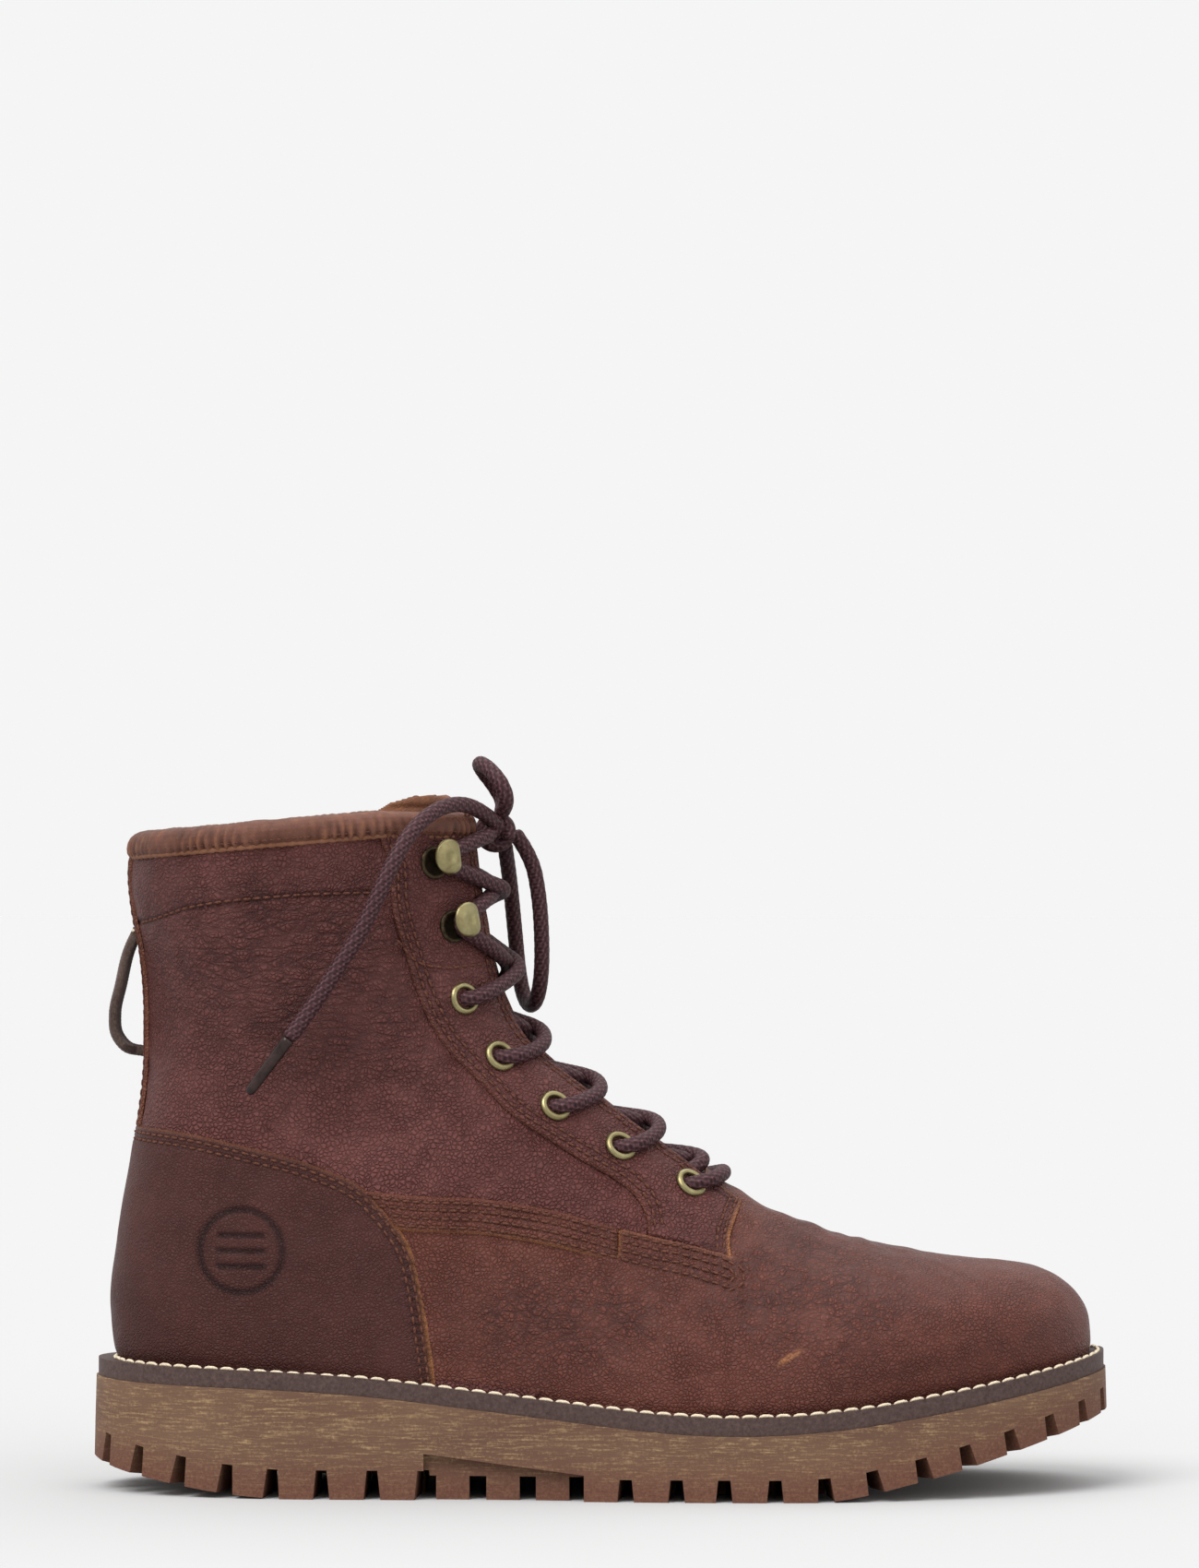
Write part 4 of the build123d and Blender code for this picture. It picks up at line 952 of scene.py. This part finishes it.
for name, turn in (("outer", np.pi), ("inner", -np.pi)):
    panel("quarter_leather_" + name, spread(0.2, 14.6, 300), turn * spread(0.0, 0.985, 230),
          quarter_inside, GRAIN, quarter_height, 1.7, quarter_rows, "leather", "quarter_" + name)
    panel("eyestay_leather_" + name, spread(0.2, 14.2, 330), turn * spread(0.55, 0.995, 150),
          eyestay_inside, GRAIN, eyestay_height, 0.9, eyestay_rows, "leather", "eyestay_" + name,
          worn=lambda p: np.where(p[..., 0] > 36, 1.5, 0.12))
    panel("side_band_leather_" + name, spread(9.1, 17.5, 230), turn * spread(0.28, 0.92, 150),
          band_inside, SMOOTH, band_height, 0.0, band_rows, "smooth_leather", "side_band_" + name, worn=band_wear)
panel("vamp_leather", np.concatenate([spread(8.6, 20, 250), spread(20.04, 24.93, 110)]),
      np.pi * spread(0.12, 1.88, 420), vamp_inside, SMOOTH, vamp_height, 1.7, vamp_rows, "smooth_leather", "vamp",
      worn=0.6, shade_and_marks=lambda p: (0, scuff(p)))
panel("heel_foxing_leather", spread(7, 15.5, 250), np.pi * spread(-0.66, 0.66, 330),
      foxing_inside, FOXING, foxing_height, 0.0, foxing_rows, "smooth_leather", "heel_foxing",
      worn=lambda p: np.where(p[..., 2] < 88, 0.7, 0.2), shade_and_marks=lambda p: (0.8 * emblem(p), 0))
panel("back_strap_leather", np.linspace(0.2, 9, 200), np.pi * np.linspace(-0.13, 0.13, 90),
      strap_inside, SMOOTH, strap_height, 0.0, strap_rows, "smooth_leather", "back_strap")


# == Padded collar, tongue and the cloth inside
def collar_line(angles, depth):
    """The places on each angle's line that are depth below the collar's top."""
    def passed(place):
        point = upper(place, angles)
        return point[..., 2] <= height_on(COLLAR_TOP, point[..., 0]) - depth

    return bisect(np.zeros(angles.shape), np.full(angles.shape, 6.0), passed)


# The roll's cross section: inset from the leather's face and depth below the collar's top.
COLLAR_ROLL = [(-0.1, 7.2), (-0.9, 6.6), (-1.75, 5.6), (-2.1, 4.2), (-2.05, 2.7), (-1.5, 1.3), (-0.5, 0.3),
               (0.9, -0.35), (2.6, -0.6), (4.4, -0.45), (6.0, 0.1), (7.3, 1.1), (8.1, 2.6), (8.4, 4.3), (8.1, 6.0),
               (7.2, 7.4), (5.4, 7.9), (2.5, 7.9)]


def collar():
    """The soft gathered roll round the boot's mouth, with the piping and stitching along its lower edge."""
    closed = np.array([*COLLAR_ROLL, COLLAR_ROLL[0]])
    t = np.linspace(0, len(COLLAR_ROLL), 55)[:-1]
    rounded = np.stack([np.interp(t, np.arange(len(closed)), closed[:, k]) for k in range(2)], -1)
    angles = np.pi * np.linspace(-0.925, 0.925, 900)
    vertices = np.stack([upper(collar_line(angles, depth), angles, inset) for inset, depth in rounded], 1)
    run = lengths_along(vertices[:, 3])
    middle = vertices.mean(axis=1, keepdims=True)
    wander = np.array([noise.noise(Vector((s / 9, 4.0, 0))) for s in run])
    puckers = np.sin(run * 2 * np.pi / 2.9 + 5 * wander)[:, None] * (0.55 + 0.45 * np.sin(run / 7)[:, None])
    away = unit(vertices - middle)
    window = held((rounded[:, 1] - 0.2) / 6)[None, :]
    vertices += away * (0.4 * puckers * (0.3 + window) + 0.25 * lumps(vertices, 7.0, 31.0))[..., None]
    folds = (puckers * window + 0.6 * lumps(vertices, 2.6, 33.0)).ravel()
    # The gathers' hollows are darkened with painted shade and their ridges paled with painted highlights.
    shades = {"shade_and_marks": np.clip(-0.6 * folds - 0.1, 0, 0.6), "rim": np.clip(0.3 * folds - 0.05, 0, 0.3)}
    taper = held(np.minimum(run, run[-1] - run) / 2.5) ** 0.5
    vertices = middle + (vertices - middle) * (0.35 + 0.65 * taper)[:, None, None]
    faces = [f[::-1] for f in ring_faces(len(angles), len(rounded))]
    roll = mesh_object("padded_collar", vertices.reshape(-1, 3), faces, COLLAR, values=shades)
    finish_piece(roll, "boot", "collar_leather", "collar_binding")
    places = collar_line(angles, 6.9)
    away, up = normals(places, angles), np.array((0.0, 0.0, 1.0))
    line = upper(places, angles) + 0.25 * away
    turn = np.arange(12) * np.pi / 6
    thick = 0.75 + 0.1 * np.sin(run * 2 * np.pi / 3.1)
    rolls = (line[:, None] + thick[:, None, None] * (np.cos(turn)[:, None] * away[:, None]
                                                     + 1.15 * np.sin(turn)[:, None] * up))
    faces = [f[::-1] for f in ring_faces(len(angles), len(turn))]
    finish_piece(mesh_object("collar_piping", rolls.reshape(-1, 3), faces, PIPING), "boot", "collar_leather")
    places = collar_line(angles, 5.4)
    n = normals(places, angles)
    row = upper(places, angles) + 1.72 * n
    finish_piece(stitches("collar_stitching", [(row[8:-8], n[8:-8])], SEAM, 2.2, 1.6, 0.24), "boot", "collar_leather")


TONGUE_TOP = [(-90, 198.0), (-68, 202.0), (-62, 205.2), (-55, 207.2), (-47, 207.4), (-38, 203.5)]


def tongue():
    """The padded tongue, crowned between its edges, with two sewn channels near its top."""
    places = np.concatenate([np.linspace(0.18, 3, 130), np.linspace(3.05, 11.6, 120)])
    place, off = np.meshgrid(places, np.linspace(-1, 1, 100), indexing="ij")
    wing = held((2.2 - place) / 1.2)
    angle = np.pi * (1 + off * (0.21 + 0.10 * wing * wing * (3 - 2 * wing)))
    crown = np.sqrt(held(1 - np.abs(off) ** 4))
    middle = 9.9
    behind = upper(place, angle, middle)
    rise = held((height_on(TONGUE_TOP, behind[..., 0]) - behind[..., 2]) / 4.0)
    ends = np.sqrt(1 - (1 - rise) ** 2) * np.clip((11.62 - place) / 0.25, 0.05, 1)
    face = 8.5 - 2.2 * bell(off, 0.2, 4)
    channel = sum(bell(behind[..., 2] - level, 0.9) for level in (203.6, 196.0, 182.0))
    thick = crown * ends * (1 - 0.4 * channel)
    top = upper(place, angle, middle - (middle - face) * thick - 0.15)
    top += 0.2 * lumps(upper(place, angle), 9.0, 41.0)[..., None]
    bottom = upper(place, angle, middle + 2.4 * thick + 0.15)
    vertices, faces, used = closed_shell(top, bottom, rise[:-1, :-1] > 0)
    paler = np.clip((behind[..., 2] - 190) / 6, 0, 0.3).ravel()[used]
    obj = mesh_object("padded_tongue", vertices, faces, TONGUE, values={"rim": np.tile(paler, 2)})
    finish_piece(obj, "tongue", "leather", "tongue_padding", "tongue_face")


def inner_cloth(name, places, angles, node):
    place, angle = np.meshgrid(places, np.pi * angles, indexing="ij")
    base = upper(place, angle, 7.1)
    soft = 0.35 * lumps(base, 12.0, 51.0)
    bottom = base - normals(place, angle) * soft[..., None]
    below = base[:-1, :-1, 2] < height_on(COLLAR_TOP, base[:-1, :-1, 0]) - 5
    vertices, faces, _ = closed_shell(upper(place, angle, 6.1), bottom, (above_sole(base)[:-1, :-1] > 0.8) & below)
    finish_piece(mesh_object(name, vertices, faces, LINING), "boot", "lining_cloth", node)


collar()
tongue()
inner_cloth("shaft_lining", np.linspace(0.3, 12.25, 130), np.linspace(-0.75, 0.75, 180), "lining_shaft")
inner_cloth("foot_lining", np.linspace(12.6, 24.6, 120), np.linspace(0.2, 1.8, 150), "lining_foot")


# == Seam stitching on the upper
THREAD_LIFT = 0.12
runs = []


def lay(row, side, height, beside_throat=False):
    """Add a stitch row, given in side view, on a panel of that height."""
    points, _ = on_upper(row[:, 0], row[:, 1], side)
    if beside_throat:
        clear = throat_edge(points) > 1.2
        row, points = row[clear], points[clear]
    if len(row) > 2:
        runs.append(on_upper(row[:, 0], row[:, 1], side, height(points) + THREAD_LIFT))


def throat_run(side, inset):
    """A line that follows the facing edge at a distance in from it."""
    places = np.linspace(0.95, 10.9, 240)
    angle = bisect(np.full(places.shape, 0.55 * np.pi), np.full(places.shape, 0.999 * np.pi),
                   lambda a: throat_edge(upper(places, -side * a)) <= inset)
    points, n = upper(places, -side * angle), normals(places, -side * angle)
    return points + n * (eyestay_height(points) + THREAD_LIFT)[:, None], n


hook_patch = smooth_line([(-59.4, 163.5), (-54.5, 158.0), (-45.5, 156.0), (-36.5, 156.8)])
for _, side in SIDES:
    for d in (1.9, 4.0):
        row = offset_line(seam_line, d)
        lay(row[(row[:, 1] < 196) & (row[:, 1] > 79)], side, eyestay_height, True)
    runs += [throat_run(side, d) for d in PAIR]
    for d in PAIR:
        row = offset_line(foxing_line, -d)
        lay(row[(row[:, 1] > height_on(SOLE_TOP, row[:, 0]) + 1) & (row[:, 0] > -138.5)], side, foxing_height)
    for d in BAND_ROWS:
        row = np.array(moved(band_line, 0, -d))
        row = row[(row[:, 0] < 38.9) & (row[:, 0] > -75)]
        clear = foxing_area(np.stack([row[:, 0], row[:, 0] * 0, row[:, 1]], -1)) < -0.3
        lay(row[clear & (row[:, 0] < 5)], side, band_height)
        lay(row[row[:, 0] > 6.5], side, vamp_height)
    for first, last in ((0, 3), (1, 2)):
        radius = (BAND_ROWS[last] - BAND_ROWS[first]) / 2
        turn = np.linspace(np.pi / 2, -np.pi / 2, 12)
        end = np.stack([39.0 + radius * np.cos(turn), 70.3 - BAND_ROWS[first] - radius + radius * np.sin(turn)], -1)
        lay(end, side, vamp_height)
    for d in PAIR:
        row = offset_line(front_line, d)
        lay(row[(row[:, 1] > 72.5) & (row[:, 1] < 91)], side, eyestay_height, True)
    lay(cuff_line[(cuff_line[:, 0] > -137) & (cuff_line[:, 0] < -65)], side, quarter_height)
    lay(hook_patch, side, eyestay_height, True)
finish_piece(stitches("seam_stitching", runs, SEAM), "boot", "leather")


def strap_run(sign):
    places = np.linspace(1.75, 8.0, 90)

    def passed(angle):
        _, y, z = upper(places, sign * angle).T
        return np.abs(y) >= 5.3 - 0.012 * (195 - z)

    angle = sign * bisect(np.zeros(90), np.full(90, 0.4 * np.pi), passed)
    n = normals(places, angle)
    return upper(places, angle) + n * 1.2, n


finish_piece(stitches("strap_stitching", [strap_run(-1), strap_run(1)], SEAM, 3.0, 2.35, 0.28), "boot", "leather")


# == Sole, welt and their stitching
TREAD_HEIGHT = [(-152, 9.0), (-140, 5.0), (-125, 2.0), (-105, 0), (60, 0), (75, 1.3), (90, 4.6), (104, 8.0),
                (120, 12.6), (135, 17.2), (148, 21.5), (170, 30.0)]


def refined_copy(node, name, material, width, body, slot, segments=2):
    """A softened copy of a CAD node: small bevels on its edges."""
    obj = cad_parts[node].copy()
    obj.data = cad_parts[node].data.copy()
    for key in list(obj.keys()):
        del obj[key]
    obj.name = name
    obj.parent = None
    bpy.context.scene.collection.objects.link(obj)
    obj.data.materials.clear()
    obj.data.materials.append(material)
    bevel = obj.modifiers.new("soft_edges", "BEVEL")
    bevel.width = width * MM
    bevel.segments = segments
    bevel.limit_method = "ANGLE"
    bevel.angle_limit = math.radians(32)
    obj.data.shade_smooth()
    weighted = obj.modifiers.new("weighted", "WEIGHTED_NORMAL")
    weighted.keep_sharp = True
    return finish_piece(obj, body, slot, node)


sole = refined_copy("outsole", "lugged_outsole", RUBBER, 0.55, "boot", "sole_rubber")
rise = [v.co.z / MM - height_on(TREAD_HEIGHT, v.co.x / MM) for v in sole.data.vertices]
sole.data.attributes.new("tread", "FLOAT", "POINT").data.foreach_set("value", rise)
refined_copy("welt", "welt_strip", WELT, 0.5, "boot", "welt_rubber")
refined_copy("footbed", "cloth_footbed", FOOTBED, 1.2, "footbed", "footbed_fabric", 3)


def feather_points(places, side):
    """Where upper and sole meet, in plan."""
    def passed(angle):
        x, _, z = upper(places, -side * angle).T
        return z >= height_on(SOLE_TOP, x)

    angle = bisect(np.zeros(places.shape), np.full(places.shape, np.pi), passed)
    return upper(places, -side * angle)[:, :2]


STITCH_MARGIN = 2.3


def sole_outline():
    """The line of the welt's stitches in plan, a margin outside where upper and sole meet."""
    places = np.concatenate([[11.71, 11.74, 11.78, 11.85, 11.92], np.linspace(12.0, 24.5, 90)])
    line = np.concatenate([feather_points(places, -1), feather_points(places, 1)[::-1]])
    for _ in range(4):
        line = (np.roll(line, 1, axis=0) + 2 * line + np.roll(line, -1, axis=0)) / 4
    way = np.roll(line, -1, axis=0) - np.roll(line, 1, axis=0)
    way /= np.hypot(*way.T)[:, None]
    reach = STITCH_MARGIN + 3.1 * held((-60 - line[:, 0]) / 60)
    line = line + np.stack([way[:, 1], -way[:, 0]], -1) * reach[:, None]
    return np.concatenate([line, line[:1]])


x, y = sole_outline().T
thread_line = spaced(np.stack([x, y, height_on(SOLE_TOP, x) + 0.15], -1), 1.5)
welt_run = (thread_line, np.tile((0.0, 0.0, 1.0), (len(thread_line), 1)))
finish_piece(stitches("welt_lockstitch", [welt_run], CREAM, 5.0, 4.3, 0.5), "boot", "welt_thread", "welt_stitching")


# == Eyelets, hooks and the pull loop
def fitting_frame(x, z, side):
    """Origin and axes of a fitting: across towards the throat, up along it, and out of the leather."""
    place, angle = seat(x, z, side)
    n = normals(place, angle)
    upwards = upper(place - 0.3, angle) - upper(place + 0.3, angle)
    across = unit(np.cross(upwards, n))
    return upper(place, angle), across, np.cross(n, across), n


def lathe(profile, count, origin, axes):
    """Vertices and faces of a profile of radii and heights turned about the third axis."""
    turns = [2 * np.pi * j / count for j in range(count)]
    vertices = [origin + axes[0] * r * math.cos(turn) + axes[1] * r * math.sin(turn) + axes[2] * h
                for r, h in profile for turn in turns]
    return vertices, ring_faces(len(profile), count, ends=False)


def joined(name, parts, material):
    vertices, faces = [], []
    for some_vertices, some_faces in parts:
        start = len(vertices)
        vertices.extend(some_vertices)
        faces.extend(tuple(start + i for i in f) for f in some_faces)
    return mesh_object(name, vertices, faces, material)


EYELET_PROFILE = [(2.9, -3.4), (2.9, 0.4), (3.05, 0.95), (3.35, 1.3), (3.75, 1.45), (4.15, 1.4), (4.55, 1.15),
                  (4.85, 0.75), (4.98, 0.3), (4.95, 0.0), (4.6, -0.2), (3.35, -0.25), (3.35, -3.2), (4.05, -3.25),
                  (4.1, -3.6), (3.3, -3.75), (2.9, -3.4)]
HOOK_BASE = [(0.2, 1.0), (3.1, 1.0), (3.5, 1.35), (4.2, 1.5), (4.8, 1.25), (5.0, 0.7), (4.8, 0.2), (0.2, 0.1)]
# The cap's rings: their share of its outline and their height; and the web's path from the base up to it.
HOOK_CAP = [(0.15, 5.75), (0.9, 5.7), (1.0, 5.95), (1.0, 6.35), (0.96, 6.75), (0.86, 7.1), (0.7, 7.32), (0.5, 7.45),
            (0.3, 7.5), (0.22, 7.32), (0.1, 7.28), (0.01, 7.28)]
HOOK_WEB = [(1.2, 1.0), (2.6, 1.05), (3.5, 1.5), (3.75, 2.6), (3.75, 4.4), (3.6, 5.4), (3.0, 6.0), (1.5, 6.2)]


def eyelets(name, side):
    parts = []
    for x, z in EYELETS:
        origin, across, up, n = fitting_frame(x, z, side)
        parts.append(lathe(EYELET_PROFILE, 48, origin + n * 0.55, (across, up, n)))
    nodes = [f"eyelet_{name}_{k}" for k in range(1, 6)]
    finish_piece(joined("eyelets_" + name, parts, BRASS), "boot", "brass", *nodes)


def d_outline(radius, flat, towards):
    """A circle cut off by a flat with rounded corners, on its throat side."""
    points = []
    for j in range(48):
        turn = 2 * np.pi * j / 48
        c, s = math.cos(turn), math.sin(turn)
        reach = radius
        if c > 0:
            reach = (radius**-12 + (c / flat) ** 12) ** (-1 / 12)
        points.append((c * towards * reach, s * reach))
    return points


def hook(x, z, side):
    """A speed hook: round base, folded web and a domed D-shaped cap with a centre rivet dimple."""
    origin, across, up, n = fitting_frame(x, z, side)
    towards = -side
    base = lathe(HOOK_BASE, 40, origin - across * towards * 1.3 - up * 0.9, (across, up, n))
    outline = d_outline(5.3, 3.9, towards)
    cap = [origin + across * (0.5 * towards + a * share) + up * (0.5 + b * share) + n * h
           for share, h in HOOK_CAP for a, b in outline]
    path = np.array([(a * towards, h) for a, h in HOOK_WEB])
    web = []
    for k, (a, h) in enumerate(path):
        way = path[min(k + 1, len(path) - 1)] - path[max(k - 1, 0)]
        way /= np.hypot(*way)
        cross = np.array([-way[1], way[0]]) * 0.5
        for s, v in ((1, -3.2), (1, 3.2), (-1, 3.2), (-1, -3.2)):
            web.append(origin + across * (a + s * cross[0]) + up * v + n * (h + s * cross[1]))
    return base, [(cap, ring_faces(len(HOOK_CAP), len(outline), ends=False)), (web, ring_faces(len(path), 4))]


hook_bases = []
for name, side in SIDES:
    eyelets(name, side)
    for number, (x, z) in enumerate(HOOKS, 1):
        base, cap = hook(x, z, side)
        hook_bases.append(base)
        finish_piece(joined(f"hook_{name}_metal_{number}", cap, BRASS), "boot", "brass", f"hook_{name}_{number}")
finish_piece(joined("hook_bases", hook_bases, DARK_BRASS), "boot", "brass")


LOOP_LINE = [(-138.6, 167.0), (-141.4, 160.5), (-143.8, 150.4), (-145.6, 141.5), (-145.0, 135.5), (-142.0, 131.7),
             (-136.2, 130.3)]
LOOP_INNER = (-138, 147)


def pull_loop():
    """Ribbed webbing folded into a loop, pinched together where it is sewn down."""
    line = smooth_line(LOOP_LINE, 0.5)
    way = np.gradient(line, axis=0)
    way /= np.hypot(*way.T)[:, None]
    out = np.stack([-way[:, 1], way[:, 0]], -1)
    out *= np.sign(np.sum(out * (line - LOOP_INNER), -1, keepdims=True))
    across = np.linspace(-1, 1, 61)
    width = 2.6 + 3.9 * held((-139.4 - line[:, 0]) / 3.2) ** 0.6
    wefts = 0.05 * np.cos(np.arange(len(line)) * 0.5 * 2 * np.pi / 1.1)[:, None]
    edge = np.sqrt(held(1 - np.abs(across) ** 8))
    half = 0.3 + (1.2 + 0.12 * np.cos(across * 6 * np.pi) + wefts) * edge
    top, bottom = (np.stack([line[:, None, 0] + sign * out[:, None, 0] * half, width[:, None] * across,
                             line[:, None, 1] + sign * out[:, None, 1] * half], -1) for sign in (1, -1))
    vertices, faces, _ = closed_shell(top, bottom, np.ones((len(line) - 1, 60), bool))
    loop = mesh_object("webbing_loop", vertices, faces, WEBBING)
    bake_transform(loop)
    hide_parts("pull_loop")


pull_loop()

# A light bar of close stitches holds the loop's top end.
tack = np.stack([np.full(12, -139.9), np.linspace(-2.2, 2.2, 12), np.full(12, 166.6)], -1)
tack_run = (tack, np.tile((-1.0, 0.0, 0.0), (12, 1)))
finish_piece(stitches("loop_bar_tack", [tack_run], CREAM, 0.7, 1.9, 0.45), "boot", "webbing")

# == CAD nodes that stay: hidden layers inside the boot
for node, material in (("warm_layer_shaft", FIBRE), ("warm_layer_foot", FIBRE), ("heel_counter", BOARD),
                       ("toe_puff", BOARD), ("cuff_foam", FIBRE), ("insole_board", BOARD), ("cork_filler", BOARD),
                       ("shank", STEEL)):
    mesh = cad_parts[node].data
    for k in range(len(mesh.materials)):
        mesh.materials[k] = material

# == Floor, lights and world
FLOOR_GREY = 0.469
WORLD_STRENGTH = 0.913
# Each light: where it shines from, its spread in degrees and its power.
LIGHTS = (("key", (-1.1, -1.3, 2.1), 38, 2.4), ("fill", (1.7, -1.5, 1.0), 60, 0.5), ("top", (0.2, 0.4, 2.3), 70, 1.2))

floor_mesh = bpy.data.meshes.new("floor")
floor_mesh.from_pydata([(-6, -6, 0), (6, -6, 0), (6, 9, 0), (-6, 9, 0)], [], [(0, 1, 2, 3)])
floor_mesh.materials.append(Shader("floor").finish((FLOOR_GREY,) * 3, 0.8, 0.0))
floor = bpy.data.objects.new("floor", floor_mesh)
bpy.context.scene.collection.objects.link(floor)

for name, place, spread, power in LIGHTS:
    data = bpy.data.lights.new(name, "SUN")
    data.angle = math.radians(spread)
    data.energy = power
    light = bpy.data.objects.new(name, data)
    light.location = place
    light.rotation_euler = (-Vector(place)).to_track_quat("-Z", "Y").to_euler()
    bpy.context.scene.collection.objects.link(light)
world = bpy.data.worlds.new("studio")
world.use_nodes = True
background = world.node_tree.nodes["Background"]
background.inputs["Color"].default_value = (1.0, 1.0, 1.0, 1)
background.inputs["Strength"].default_value = WORLD_STRENGTH
bpy.context.scene.world = world
bpy.context.scene.view_settings.view_transform = "Standard"
